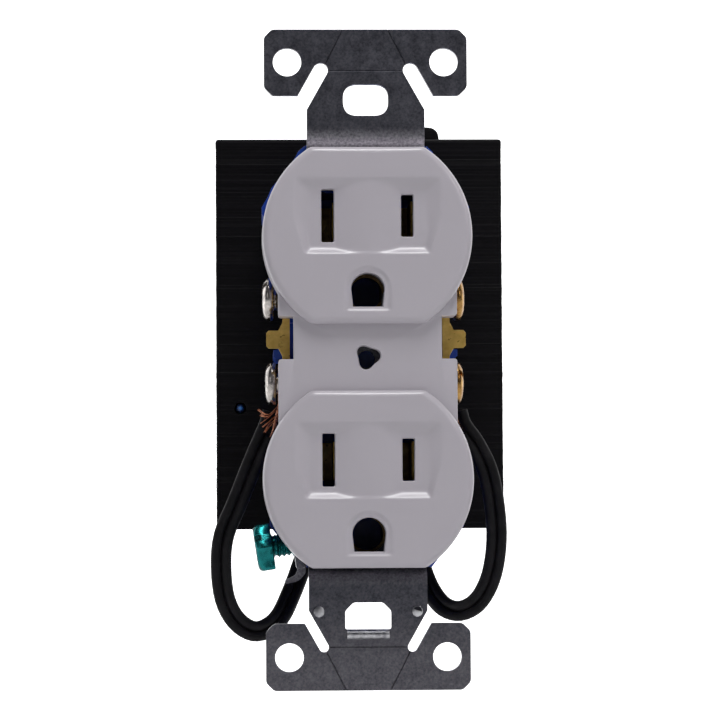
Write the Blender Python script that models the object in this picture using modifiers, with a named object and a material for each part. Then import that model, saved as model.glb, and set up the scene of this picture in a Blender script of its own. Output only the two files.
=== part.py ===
"""Duplex wall outlet with its wired control module, one object per physical piece.

Frame: metres, +Z up, +X to the viewer's right, the faces look along -Y. The origin is the centre of the
mounting strap's seating plane, on the axis of the threaded cover-plate hole. Sizes below are in millimetres.
"""
import math

import bmesh
import bpy
from mathutils import Matrix, Vector

MM = 0.001
GAP = 0.3                      # clearance kept between neighbouring pieces

# mounting strap
STRAP_T = 1.3
STRAP_HALF_H = 53.2
EAR_HALF_W = 16.4
EAR_INNER_Z = 42.5
EAR_CHAMFER = 1.3
NECK_HALF_W = 9.5
MOUNT_Z = 41.67                # half of the 83.3 mm screw spacing
MOUNT_SLOT = (7.4, 4.9)
LOWER_HOLE_Z = -41.3
EAR_HOLE = (12.65, 47.9, 2.3)
BEND_Z = (35.9, 32.7)          # the strap steps back between these heights
SPAN_Y = 2.8                   # seating plane of the stepped-back middle span
SPAN_HALF_W = 4.1
GROUND_ZONE_HALF_W = 6.0
SCORE_DEPTH = 0.22
COVER_SCREW_R = 1.4

# white cover
FACE_R = 16.85
FACE_HALF_FLAT = 14.2
FACE_Z = 19.45                 # height of each face's centre above or below the origin
FACE_Y = -7.7
BRIDGE_Y = -5.9
COVER_BACK_Y = 1.2
COVER_WALL = 1.8
BASE_HALF_W = 14.25
BASE_HALF_H = 25.0
NOTCH_Z = (-0.3, 6.6)
NOTCH_HALF_W = 11.8
CENTRE_HOLE_TURN = math.radians(12)

# openings of a 15 A, 125 V grounding receptacle, relative to a face's centre
BLADE_X = 6.35
BLADE_DZ = 3.05
NEUTRAL_SLOT = (2.1, 8.5)
HOT_SLOT = (2.0, 6.8)
GROUND_DZ = -8.75
GROUND_R = 2.7

# back body
BODY_Y = (1.5, 21.2)
BODY_HALF_W = 16.8
BODY_TOP_Z = 34.9
BODY_BOTTOM_Z = -33.6
POCKET_HALF_W = 12.3           # side wall behind the terminal screws
RECESS_Y = 3.1                 # floor of the front recess that takes the strap and the contact webs

# contacts
SHEET = 0.8
PLATE_X = 12.6                 # inner face of a terminal plate
WEB_Y = (1.8, 2.6)
LEAF_BACK_Y = 13.8
TAB_Z = 3.25
TAB_ROOT = 12.35
TAB_REACH = 16.15

# screws
TERMINAL_Y = 8.0
TERMINAL_Z = (10.1, -3.7)
TERMINAL_HEAD = (3.5, 1.8)
TERMINAL_SHANK_R = 2.05
GROUND_SCREW_YZ = (8.0, -29.6)
GROUND_HEX = (4.33, 2.8)       # half width across corners, and height of the head
GROUND_LEAN = math.radians(-8.6)    # the ground terminal leans down and outward
FLANGE_X = (-12.0, -10.7)
ASSEMBLY_HEAD_R = 2.7

# control module behind the outlet
CASE_X = (-24.6, 23.9)
CASE_Z = (-27.6, 38.3)
CASE_CHAMFER = 0.5
CASE_FRONT_Y = 22.8
CASE_BACK_Y = 44.8
CASE_WALL = 2.0
LID_T = 2.0
LED_XZ = (-20.5, -7.2)
LEAD_HOLE_X = (-9.2, 9.0)
LEAD_HOLE_Y = 29.0
LEAD_HOLE_RADII = (2.7, 1.8)

# leads: two insulated conductors side by side
CONDUCTOR_R = 0.86
CONDUCTOR_PITCH = 1.76


def start_scene():
    for obj in list(bpy.data.objects):
        bpy.data.objects.remove(obj, do_unlink=True)
    parts = bpy.data.collections.new("duplex_wall_outlet")
    cutters = bpy.data.collections.new("cutters")
    bpy.context.scene.collection.children.link(parts)
    bpy.context.scene.collection.children.link(cutters)
    return parts, cutters


PARTS, CUTTERS = start_scene()


def material(name, color, roughness, metallic=0.0):
    mat = bpy.data.materials.new(name)
    mat.use_nodes = True
    shader = mat.node_tree.nodes["Principled BSDF"]
    shader.inputs["Base Color"].default_value = (*color, 1.0)
    shader.inputs["Roughness"].default_value = roughness
    shader.inputs["Metallic"].default_value = metallic
    return mat


STEEL = material("galvanised_steel", (0.20, 0.20, 0.22), 0.45, 1.0)
WHITE = material("white_plastic", (0.72, 0.70, 0.74), 0.35)
BLUE = material("blue_plastic", (0.05, 0.15, 0.45), 0.4)
BRASS = material("brass", (0.45, 0.32, 0.12), 0.35, 1.0)
NICKEL = material("nickel_plate", (0.60, 0.57, 0.54), 0.25, 1.0)
GREEN = material("green_screw", (0.03, 0.30, 0.28), 0.3, 0.8)
BLACK = material("black_print", (0.012, 0.012, 0.014), 0.6)
VINYL = material("black_vinyl", (0.02, 0.02, 0.022), 0.45)
COPPER = material("copper", (0.55, 0.25, 0.15), 0.35, 1.0)
FOAM = material("foam_pad", (0.05, 0.05, 0.05), 0.9)
BOARD = material("circuit_board", (0.02, 0.18, 0.08), 0.5)
LENS = material("led_lens", (0.05, 0.15, 0.6), 0.15)
ZINC = material("zinc_screw", (0.45, 0.45, 0.47), 0.3, 1.0)


def place(mesh, name, mat, where=Matrix.Identity(4), collection=PARTS):
    """Link a mesh as an object; its matrix keeps the origin that a moving piece turns or slides on."""
    obj = bpy.data.objects.new(name, mesh)
    collection.objects.link(obj)
    obj.matrix_world = where
    if mat:
        mesh.materials.clear()
        mesh.materials.append(mat)
    if collection is CUTTERS:
        obj.hide_render = True
        obj.display_type = "WIRE"
    return obj


def mesh_of(bm, name):
    bmesh.ops.recalc_face_normals(bm, faces=bm.faces)
    mesh = bpy.data.meshes.new(name)
    bm.to_mesh(mesh)
    bm.free()
    return mesh


def block(name, x, y, z, mat=None, bevel=0.0):
    """A box between the given limits, with its edges rounded off where bevel is given."""
    bm = bmesh.new()
    size = Vector((x[1] - x[0], y[1] - y[0], z[1] - z[0])) * MM
    centre = Vector((x[0] + x[1], y[0] + y[1], z[0] + z[1])) * MM / 2
    bmesh.ops.create_cube(bm, size=1.0)
    bmesh.ops.scale(bm, vec=size, verts=bm.verts)
    if bevel:
        bmesh.ops.bevel(bm, geom=bm.edges[:], offset=bevel * MM, segments=1, affect="EDGES")
    collection = PARTS if mat else CUTTERS
    return place(mesh_of(bm, name), name, mat, Matrix.Translation(centre), collection)


AXES = {"x": Matrix.Rotation(math.pi / 2, 4, "Y"), "-x": Matrix.Rotation(-math.pi / 2, 4, "Y"),
        "y": Matrix.Rotation(-math.pi / 2, 4, "X"), "-y": Matrix.Rotation(math.pi / 2, 4, "X"),
        "z": Matrix.Identity(4)}


def cylinder(name, centre, axis, radius, length, mat=None, segments=24):
    """A cylinder around a centre point, along a world axis."""
    bm = bmesh.new()
    bmesh.ops.create_cone(bm, cap_ends=True, segments=segments, radius1=radius * MM, radius2=radius * MM,
                          depth=length * MM)
    where = Matrix.Translation(Vector(centre) * MM) @ AXES[axis]
    return place(mesh_of(bm, name), name, mat, where, PARTS if mat else CUTTERS)


PLANES = {"xz": Matrix.Rotation(math.pi / 2, 4, "X"), "xy": Matrix.Identity(4),
          "yz": Matrix(((0, 0, 1, 0), (1, 0, 0, 0), (0, 1, 0, 0), (0, 0, 0, 1)))}
NORMALS = {"xz": Vector((0, 1, 0)), "xy": Vector((0, 0, 1)), "yz": Vector((1, 0, 0))}


def outline_solid(name, points, span, mat=None, front_bevel=0.0, plane="xz"):
    """A flat outline extruded over a span across its plane; its front rim can be rounded."""
    curve = bpy.data.curves.new(name, "CURVE")
    curve.dimensions = "2D"
    curve.fill_mode = "BOTH"
    curve.extrude = (span[1] - span[0]) / 2 * MM
    spline = curve.splines.new("POLY")
    spline.points.add(len(points) - 1)
    for point, (px, pz) in zip(spline.points, points):
        point.co = (px * MM, pz * MM, 0.0, 1.0)
    spline.use_cyclic_u = True
    flat = bpy.data.objects.new(name + "_outline", curve)
    CUTTERS.objects.link(flat)
    middle = NORMALS[plane] * (span[0] + span[1]) / 2 * MM
    flat.matrix_world = Matrix.Translation(middle) @ PLANES[plane]
    graph = bpy.context.evaluated_depsgraph_get()
    mesh = bpy.data.meshes.new_from_object(flat.evaluated_get(graph))
    mesh.name = name
    where = flat.matrix_world.copy()
    bpy.data.objects.remove(flat, do_unlink=True)
    bm = bmesh.new()
    bm.from_mesh(mesh)
    bmesh.ops.remove_doubles(bm, verts=bm.verts, dist=1e-6)
    bmesh.ops.recalc_face_normals(bm, faces=bm.faces)
    if front_bevel:
        front = max(v.co.z for v in bm.verts)
        bmesh.ops.dissolve_limit(bm, angle_limit=0.001, verts=bm.verts, edges=bm.edges)
        rim = [e for e in bm.edges if all(abs(v.co.z - front) < 1e-7 for v in e.verts)]
        bmesh.ops.bevel(bm, geom=rim, offset=front_bevel * MM, segments=2, profile=0.5, affect="EDGES")
    bm.to_mesh(mesh)
    bm.free()
    return place(mesh, name, mat, where, PARTS if mat else CUTTERS)


def turned(name, profile, where, axis, mat, steps=24):
    """A turned piece: (radius, height) pairs from the top of the axis down its outer side to the bottom."""
    bm = bmesh.new()
    verts = [bm.verts.new((r * MM, 0.0, h * MM)) for r, h in profile]
    for a, b in zip(verts, verts[1:]):
        bm.edges.new((a, b))
    mesh = bpy.data.meshes.new(name)
    bm.to_mesh(mesh)
    bm.free()
    obj = place(mesh, name, mat, Matrix.Translation(Vector(where) * MM) @ AXES[axis],
                PARTS if mat else CUTTERS)
    screw = obj.modifiers.new("turn", "SCREW")
    screw.axis = "Z"
    screw.steps = steps
    screw.render_steps = steps
    screw.use_merge_vertices = True
    screw.merge_threshold = 1e-6
    screw.use_smooth_shade = True
    return obj


def boolean(target, operation, others):
    """Cut, join or intersect the target with each helper piece in turn."""
    for other in others:
        mod = target.modifiers.new(other.name, "BOOLEAN")
        mod.operation = operation
        mod.solver = "EXACT"
        mod.object = other
    return target


def cut(target, *cutters):
    return boolean(target, "DIFFERENCE", cutters)


def join(target, *pieces):
    return boolean(target, "UNION", pieces)


def lean(*pieces):
    """Turn pieces of the ground terminal about the middle of its screw hole."""
    hole = Matrix.Translation(Vector((sum(FLANGE_X) / 2, *GROUND_SCREW_YZ)) * MM)
    bpy.context.view_layer.update()
    for piece in pieces:
        piece.matrix_world = hole @ Matrix.Rotation(GROUND_LEAN, 4, "Y") @ hole.inverted() @ piece.matrix_world


def arc(cx, cz, radius, start, end, count):
    """Points on an arc, with angles in degrees."""
    angles = [math.radians(start + (end - start) * i / count) for i in range(count + 1)]
    return [(cx + radius * math.cos(a), cz + radius * math.sin(a)) for a in angles]


def obround(cx, cz, width, height, count=10):
    """A slot with round ends, wider than it is tall."""
    r = height / 2
    reach = width / 2 - r
    return arc(cx + reach, cz, r, -90, 90, count) + arc(cx - reach, cz, r, 90, 270, count)


def face_outline(zc, radius, half_flat, count=18):
    """A circle with its top and bottom cut off flat."""
    limit = math.degrees(math.asin(half_flat / radius))
    return (arc(0, zc, radius, -limit, limit, count)
            + arc(0, zc, radius, 180 - limit, 180 + limit, count))


def smoothstep(t):
    t = min(max(t, 0.0), 1.0)
    return t * t * (3 - 2 * t)


def strap_middle_y(z):
    """Depth of the strap's mid-thickness at a height: flat ears, a step back, a flat middle span."""
    t = (BEND_Z[0] - abs(z)) / (BEND_Z[0] - BEND_Z[1])
    return -STRAP_T / 2 + smoothstep(t) * SPAN_Y


def strap_sheet():
    """The strap's side profile across its full width, as an open surface with thickness."""
    count = 6
    step = [BEND_Z[0] + (BEND_Z[1] - BEND_Z[0]) * i / count for i in range(count + 1)]
    heights = [STRAP_HALF_H + 1] + step + [-z for z in reversed(step)] + [-STRAP_HALF_H - 1]
    bm = bmesh.new()
    width = EAR_HALF_W + 2
    row = [bm.verts.new((-width * MM, strap_middle_y(z) * MM, z * MM)) for z in heights]
    edges = [bm.edges.new(pair) for pair in zip(row, row[1:])]
    swept = bmesh.ops.extrude_edge_only(bm, edges=edges)["geom"]
    moved = [v for v in swept if isinstance(v, bmesh.types.BMVert)]
    bmesh.ops.translate(bm, vec=(2 * width * MM, 0, 0), verts=moved)
    mesh = bpy.data.meshes.new("mounting_strap")
    bm.to_mesh(mesh)
    bm.free()
    obj = place(mesh, "mounting_strap", STEEL)
    solid = obj.modifiers.new("thickness", "SOLIDIFY")
    solid.thickness = STRAP_T * MM
    solid.offset = 0.0
    solid.use_even_offset = True
    return obj


def strap_outline():
    """The strap's front outline: ears, necks and a middle span that widens round each ground pin."""
    ground = [s * FACE_Z + GROUND_DZ for s in (1, -1)]
    c = EAR_CHAMFER
    right = [(EAR_HALF_W - c, STRAP_HALF_H), (EAR_HALF_W, STRAP_HALF_H - c),
             (EAR_HALF_W, EAR_INNER_Z + c), (EAR_HALF_W - c, EAR_INNER_Z),
             (NECK_HALF_W, EAR_INNER_Z), (NECK_HALF_W, BEND_Z[1]), (SPAN_HALF_W, BEND_Z[1] - 2.2)]
    for zc in ground:
        right += [(SPAN_HALF_W, zc + 5.0), (GROUND_ZONE_HALF_W, zc + 3.5)]
        if zc > 0:
            right += [(GROUND_ZONE_HALF_W, zc - 3.5), (SPAN_HALF_W, zc - 5.0)]
    right += [(GROUND_ZONE_HALF_W, -BEND_Z[1] + 0.6), (NECK_HALF_W, -BEND_Z[1]),
              (NECK_HALF_W, -EAR_INNER_Z), (EAR_HALF_W - c, -EAR_INNER_Z),
              (EAR_HALF_W, -EAR_INNER_Z - c), (EAR_HALF_W, -STRAP_HALF_H + c),
              (EAR_HALF_W - c, -STRAP_HALF_H)]
    return right + [(-x, z) for x, z in reversed(right)]


def slanted_slot(name, end, length, half_w, side, rise, count=8):
    """A break-off slot: it starts outside the neck's corner and ends in a round nose beside it."""
    angle = math.atan2(rise, -side * 0.565)
    nose = arc(0, 0, half_w, -90, 90, count)
    shape = nose + [(-length, half_w), (-length, -half_w)]
    turn = [(end[0] + x * math.cos(angle) - z * math.sin(angle),
             end[1] + x * math.sin(angle) + z * math.cos(angle)) for x, z in shape]
    return outline_solid(name, turn, (-STRAP_T - 1, 1))


def score(name, a, b):
    """A V-groove pressed along a line on the front of the strap."""
    bm = bmesh.new()
    length = math.dist(a, b) * MM
    bmesh.ops.create_cone(bm, cap_ends=True, segments=4, radius1=SCORE_DEPTH * MM,
                          radius2=SCORE_DEPTH * MM, depth=length)
    middle = Vector(((a[0] + b[0]) / 2, -STRAP_T, (a[1] + b[1]) / 2)) * MM
    angle = math.atan2(b[0] - a[0], b[1] - a[1])
    where = Matrix.Translation(middle) @ Matrix.Rotation(angle, 4, "Y")
    return place(mesh_of(bm, name), name, None, where, CUTTERS)


def make_strap():
    strap = strap_sheet()
    boolean(strap, "INTERSECT", [outline_solid("strap_outline", strap_outline(), (-4, 6))])
    slots = []
    scores = []
    for side, word in ((-1, "left"), (1, "right")):
        slots.append(slanted_slot(f"slot_top_{word}", (side * 7.25, 46.6), 12, 1.2, side, 1))
        slots.append(slanted_slot(f"slot_bottom_{word}", (side * 7.1, -46.3), 12, 0.78, side, -1))
        scores.append(score(f"score_top_{word}", (side * 6.8, 47.0), (side * 3.2, 54.0)))
        scores.append(score(f"score_bottom_{word}", (side * 7.0, -46.4), (side * 3.1, -54.0)))
        for z in (EAR_HOLE[1], -EAR_HOLE[1]):
            slots.append(cylinder(f"ear_hole_{word}_{z:.0f}", (side * EAR_HOLE[0], 0, z), "y",
                                  EAR_HOLE[2], 6))
    scores.append(score("score_top_line", (-6.8, 46.5), (6.8, 46.5)))
    scores.append(score("score_bottom_line", (-7.0, -46.3), (7.0, -46.3)))
    slots.append(outline_solid("mount_hole_top", obround(0, MOUNT_Z, *MOUNT_SLOT), (-3, 2)))
    w, h = MOUNT_SLOT[0] / 2, 2.15
    zc = LOWER_HOLE_Z
    lower = [(-w, zc - h), (w, zc - h), (w, zc + 0.8), (w - 1.35, zc + h), (1.35 - w, zc + h),
             (-w, zc + 0.8)]
    slots.append(outline_solid("mount_hole_bottom", lower, (-3, 2)))
    slots.append(cylinder("cover_plate_hole", (0, 2, 0), "y", COVER_SCREW_R, 6, segments=16))
    for s, word in ((1, "upper"), (-1, "lower")):
        zc = s * FACE_Z
        slots.append(cylinder(f"pin_hole_{word}", (0, 2, zc + GROUND_DZ), "y", 3.1, 6))
        slots.append(cylinder(f"strap_screw_hole_{word}", (0, 2, zc + BLADE_DZ), "y", 1.8, 6, segments=16))
        slots.append(cylinder(f"strap_rivet_hole_{word}", (0, 2, zc + GROUND_DZ + 5.4), "y", 1.3, 6,
                              segments=16))
    # the ground terminal: an arm of the middle span that folds back beside the body
    arm = block("ground_arm", (-11.4, -5.5), (SPAN_Y - STRAP_T, SPAN_Y), (-32.2, -28.0))
    flange = block("ground_flange", FLANGE_X, (SPAN_Y - STRAP_T, 12.6), (-33.8, -26.4))
    toe = outline_solid("flange_toe", [(-9.9, -32.6), (-9.9, -34.5), (-11.1, -35.8), (-13.2, -36.3),
                                       (-13.3, -35.6), (-11.6, -34.9), (-11.2, -33.9), (-11.2, -32.6)],
                        (3.2, 4.8))
    lip = cylinder("hole_lip", (0, -STRAP_T + 0.15, -44.3), "x", 0.7, 6.8, segments=16)
    dimples = [cylinder(f"dimple_{hand}", (x, -STRAP_T - 0.1, -40.6), "y", 0.95, 0.5, segments=16)
               for x, hand in ((-7.9, "left"), (7.8, "right"))]
    join(strap, arm, flange, toe, lip, *dimples)
    tapped = cylinder("ground_screw_hole", (sum(FLANGE_X) / 2, *GROUND_SCREW_YZ), "x",
                      TERMINAL_SHANK_R + GAP, 4)
    lean(flange, tapped)
    cut(strap, *slots, *scores, tapped)


def ground_hole(name, zc, y):
    """The grounding pin's opening: round above, flat below."""
    r = GROUND_R
    shape = arc(0, zc, r, 0, 180, 14) + [(-r, zc - 2.8), (r, zc - 2.8)]
    return outline_solid(name, shape, y)


def make_cover():
    cover = outline_solid("front_cover", face_outline(FACE_Z, FACE_R, FACE_HALF_FLAT),
                          (FACE_Y, COVER_BACK_Y), WHITE, front_bevel=0.9)
    lower = outline_solid("lower_face", face_outline(-FACE_Z, FACE_R, FACE_HALF_FLAT),
                          (FACE_Y, COVER_BACK_Y), None, front_bevel=0.9)
    base = block("cover_base", (-BASE_HALF_W, BASE_HALF_W), (BRIDGE_Y, COVER_BACK_Y),
                 (-BASE_HALF_H, BASE_HALF_H))
    join(cover, lower, base)
    cutters = []
    for s, word in ((1, "upper"), (-1, "lower")):
        zc = s * FACE_Z
        inner = face_outline(zc, FACE_R - COVER_WALL, FACE_HALF_FLAT - COVER_WALL, 12)
        cutters.append(outline_solid(f"face_cavity_{word}", inner, (FACE_Y + 2.6, COVER_BACK_Y + 1)))
        scoop = block(f"scoop_{word}", (-11.2, 11.2), (-3.0, 0.0), (-6.6, 6.6))
        scoop.matrix_world = (Matrix.Translation(Vector((0, FACE_Y + 0.35, zc + BLADE_DZ - 0.1)) * MM)
                              @ Matrix.Rotation(math.radians(4.2), 4, "X")
                              @ Matrix.Translation(Vector((0, -1.5, 0)) * MM))
        cutters.append(scoop)
        for x, (w, h), kind in ((-BLADE_X, NEUTRAL_SLOT, "neutral"), (BLADE_X, HOT_SLOT, "hot")):
            z = zc + BLADE_DZ
            cutters.append(block(f"slot_{kind}_{word}", (x - w / 2, x + w / 2), (FACE_Y - 1, FACE_Y + 4),
                                 (z - h / 2, z + h / 2)))
        cutters.append(ground_hole(f"ground_hole_{word}", zc + GROUND_DZ, (FACE_Y - 1, FACE_Y + 4)))
        neck_z = (30.0, 35.0) if s > 0 else (-35.0, -30.0)
        cutters.append(block(f"neck_relief_{word}", (-NECK_HALF_W - GAP, NECK_HALF_W + GAP),
                             (0.0, COVER_BACK_Y + 1), neck_z))
    for side, word in ((-1, "left"), (1, "right")):
        x = sorted((side * NOTCH_HALF_W, side * 20))
        cutters.append(block(f"notch_{word}", x, (BRIDGE_Y - 1, COVER_BACK_Y + 1), NOTCH_Z))
    cutters.append(block("bridge_cavity", (-9.9, 9.9), (BRIDGE_Y + 2.2, COVER_BACK_Y + 1), (-9.0, 9.0)))
    lobes = [(1.78 + 0.28 * math.cos(3 * (t - CENTRE_HOLE_TURN))) for t in
             [2 * math.pi * i / 30 for i in range(30)]]
    hole = [(r * math.cos(2 * math.pi * i / 30), r * math.sin(2 * math.pi * i / 30))
            for i, r in enumerate(lobes)]
    cutters.append(outline_solid("centre_hole", hole, (BRIDGE_Y - 1, BRIDGE_Y + 4)))
    cut(cover, *cutters)
    for s, word in ((1, "upper"), (-1, "lower")):
        z = s * FACE_Z + BLADE_DZ
        depth = COVER_BACK_Y - (FACE_Y + 2.4)
        boss = cylinder(f"boss_{word}", (0, COVER_BACK_Y - depth / 2, z), "y", 2.6, depth)
        join(cover, boss)
        cut(cover, cylinder(f"boss_bore_{word}", (0, COVER_BACK_Y - 2.5, z), "y", 1.5, 5.2, segments=16))


def body_outline():
    """The back body seen from the front: full width at its ends, stepped in beside the terminals."""
    lower_half_w = BODY_HALF_W - 1.2
    right = [(9.6, BODY_TOP_Z), (10.9, BODY_TOP_Z - 1.2), (11.3, 32.8), (12.9, 30.6), (14.3, 28.9),
             (15.2, 27.8), (15.9, 26.2), (BODY_HALF_W, 24.7), (BODY_HALF_W, 23.6), (16.3, 22.8),
             (16.3, 16.8), (14.1, 15.0), (POCKET_HALF_W, 14.4), (POCKET_HALF_W, 2.4), (13.6, 1.9),
             (15.0, 1.7), (15.0, 0.7), (14.5, 0.2), (POCKET_HALF_W, 0.1), (POCKET_HALF_W, -17.5),
             (lower_half_w, -19.8), (lower_half_w, -27.0), (10.4, BODY_BOTTOM_Z)]
    return right + [(-x, z) for x, z in reversed(right)]


def make_body():
    body = outline_solid("back_body", body_outline(), BODY_Y, BLUE)
    cutters = []
    front = BODY_Y[0] - 1
    # front recess for the strap's span and for the contact webs
    cutters.append(block("span_recess", (-6.4, 6.4), (front, RECESS_Y), (-36, 36)))
    for s, word in ((1, "upper"), (-1, "lower")):
        neck = (29.9, 35) if s > 0 else (-35, -29.9)
        cutters.append(block(f"neck_recess_{word}", (-9.95, 9.95), (front, RECESS_Y), neck))
        zc = s * FACE_Z
        zb = zc + BLADE_DZ
        zg = zc + GROUND_DZ
        cutters.append(block(f"ground_well_{word}", (-3.9, 3.9), (front, 15.5), (zg - 3.9, zg + 3.9)))
        cutters.append(block(f"rivet_well_{word}", (-3.9, 3.9), (front, 5.2), (zg, zg + 7.9)))
        for side, hand in ((-1, "left"), (1, "right")):
            x = sorted((side * 4.25, side * 8.45))
            cutters.append(block(f"blade_well_{word}_{hand}", x, (front, 14.2), (zb - 4.6, zb + 4.6)))
            x = sorted((side * 6.0, side * 13.8))
            cutters.append(block(f"web_recess_{word}_{hand}", x, (front, RECESS_Y), (zb - 3.7, zb + 3.7)))
    for side, hand in ((-1, "left"), (1, "right")):
        x = sorted((side * 12.25, side * 13.8))
        cutters.append(block(f"rail_groove_{hand}", x, (front, 5.3), (-20.2, 26.3)))
        x = sorted((side * 11.2, side * 17.5))
        cutters.append(block(f"tab_recess_{hand}", x, (front, 5.3), (-0.9, 7.1)))
        x = sorted((side * 11.2, side * 13.6))
        cutters.append(block(f"tab_well_{hand}", x, (front, 8.5), (0.2, 6.2)))
        for z, word in zip(TERMINAL_Z, ("upper", "lower")):
            cutters.append(cylinder(f"screw_well_{word}_{hand}", (side * 10.8, TERMINAL_Y, z), "x",
                                    2.5, 5.4, segments=16))
    pocket = block("ground_flange_pocket", (-18, FLANGE_X[1] + GAP), (front, 13.2), (-38, -25.4))
    toe_recess = block("flange_toe_recess", (-14, -9.5), (front, 5.2), (-36, -32.2))
    well = cylinder("ground_screw_well", (-8.6, *GROUND_SCREW_YZ), "x", 2.6, 6.4, segments=16)
    lean(pocket, well)
    cutters += [pocket, toe_recess, well]
    cutters.append(block("ground_arm_recess", (-12.6, -5), (front, RECESS_Y), (-33, -27.7)))
    for s, word in ((1, "upper"), (-1, "lower")):
        z = s * FACE_Z + BLADE_DZ
        cutters.append(cylinder(f"screw_bore_{word}", (0, 11, z), "y", 1.65, 24, segments=16))
        cutters.append(cylinder(f"counterbore_{word}", (0, BODY_Y[1], z), "y", ASSEMBLY_HEAD_R + GAP, 4.4))
    cut(body, *cutters)


def make_contact(name, side):
    """One brass strip: two terminal plates joined by a break-off tab, and a blade clip for each face."""
    inner, outer = sorted((side * PLATE_X, side * (PLATE_X + SHEET)))
    front, web_back = WEB_Y
    strip = None
    for s, z_far, z_near in ((1, 14.1, 6.6), (-1, -7.9, -0.2)):
        zb = s * FACE_Z + BLADE_DZ
        rail_end = zb + s * 3.5
        side_view = [(front, z_near), (13.0, z_near), (13.0, z_far), (4.9, z_far), (4.9, rail_end),
                     (front, rail_end)]
        word = "upper" if s > 0 else "lower"
        plate = outline_solid(name if s > 0 else name + "_lower", side_view, (inner, outer),
                              BRASS if s > 0 else None, plane="yz")
        clip = [(PLATE_X + 0.5, front + 0.15), (7.3, front + 0.15), (7.3, LEAF_BACK_Y - SHEET),
                (5.4, LEAF_BACK_Y - SHEET), (5.4, 3.6), (4.6, 3.6), (4.6, LEAF_BACK_Y),
                (8.1, LEAF_BACK_Y), (8.1, web_back + 0.15), (PLATE_X + 0.5, web_back + 0.15)]
        clip = outline_solid(f"{name}_clip_{word}", [(side * x, y) for x, y in clip],
                             (zb - 3.1, zb + 3.1), plane="xy")
        if strip is None:
            strip = plate
            join(strip, clip)
        else:
            join(strip, plate, clip)
    head = 1.45
    corner = 0.4
    upper = [(TAB_ROOT, 3.6), (PLATE_X + SHEET + 0.1, 3.6), (PLATE_X + 0.95, 2.7),
             (PLATE_X + 1.6, head), (TAB_REACH - corner, head), (TAB_REACH, head - corner)]
    flare = upper + [(x, -z) for x, z in reversed(upper)]
    join(strip, outline_solid(name + "_tab", [(side * x, TAB_Z + z) for x, z in flare],
                              (front + 0.1, web_back + 0.1)))
    for z, word in zip(TERMINAL_Z, ("upper", "lower")):
        cut(strip, cylinder(f"{name}_tapped_{word}", (side * 13.0, TERMINAL_Y, z), "x",
                            TERMINAL_SHANK_R + GAP, 3, segments=16))


def make_ground_contacts():
    for s, word in ((1, "upper"), (-1, "lower")):
        zg = s * FACE_Z + GROUND_DZ
        name = f"ground_contact_{word}"
        clip = block(name, (-3.5, 3.5), (SPAN_Y + GAP, SPAN_Y + GAP + SHEET), (zg - 3.4, zg + 7.2), BRASS)
        leaves = [block(f"{name}_leaf_{side}", sorted((side * 2.7, side * 3.5)),
                        (SPAN_Y + GAP, 14.6), (zg - 2.6, zg + 2.6)) for side in (-1, 1)]
        join(clip, *leaves)
        cut(clip, cylinder(name + "_pin_hole", (0, 3.5, zg), "y", 2.6, 3),
            cylinder(name + "_rivet_hole", (0, 3.5, zg + 5.4), "y", 1.3, 3, segments=16))
        front = SPAN_Y - STRAP_T - GAP
        back = SPAN_Y + GAP + SHEET + GAP
        profile = [(0, back + 0.7), (1.5, back + 0.7), (1.8, back + 0.4), (1.8, back), (1.0, back),
                   (1.0, front), (1.8, front), (1.8, front - 0.35), (1.5, front - 0.6), (0, front - 0.6)]
        turned(f"ground_rivet_{word}", profile, (0, 0, zg + 5.4), "y", ZINC, 16)


def make_screw(name, x_under, side, y, z, head, shank_r, length, mat, hex_head=False):
    """A terminal screw along X with its cutters. Its origin is under the head, on its own axis."""
    r, t = head
    if hex_head:
        top = [(0, t), (2.9, t), (3.4, t - 0.4), (3.4, 0)]
    else:
        top = [(0, t), (r - 1.3, t), (r - 0.45, t - 0.2), (r, t - 0.7), (r, 0.25), (r - 0.25, 0)]
    profile = top + [(shank_r, 0), (shank_r, 0.5 - length), (shank_r - 0.5, -length), (0, -length)]
    axis = "x" if side > 0 else "-x"
    screw = turned(name, profile, (side * x_under, y, z), axis, mat, 20)
    pieces = [screw]
    if hex_head:
        pieces.append(cylinder(name + "_hex", (side * (x_under + t * 0.4), y, z), axis, r, t * 0.8,
                               segments=6))
        join(screw, pieces[-1])
    reach = x_under + t
    depth = 0.7
    recess = sorted((side * (reach - depth), side * (reach + 1)))
    drives = [block(name + "_slot", recess, (y - r - 1, y + r + 1), (z - 0.45, z + 0.45))]
    if not hex_head:
        drives.append(block(name + "_cross", recess, (y - 0.45, y + 0.45), (z - 2.0, z + 2.0)))
    cut(screw, *drives)
    return pieces + drives


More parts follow.
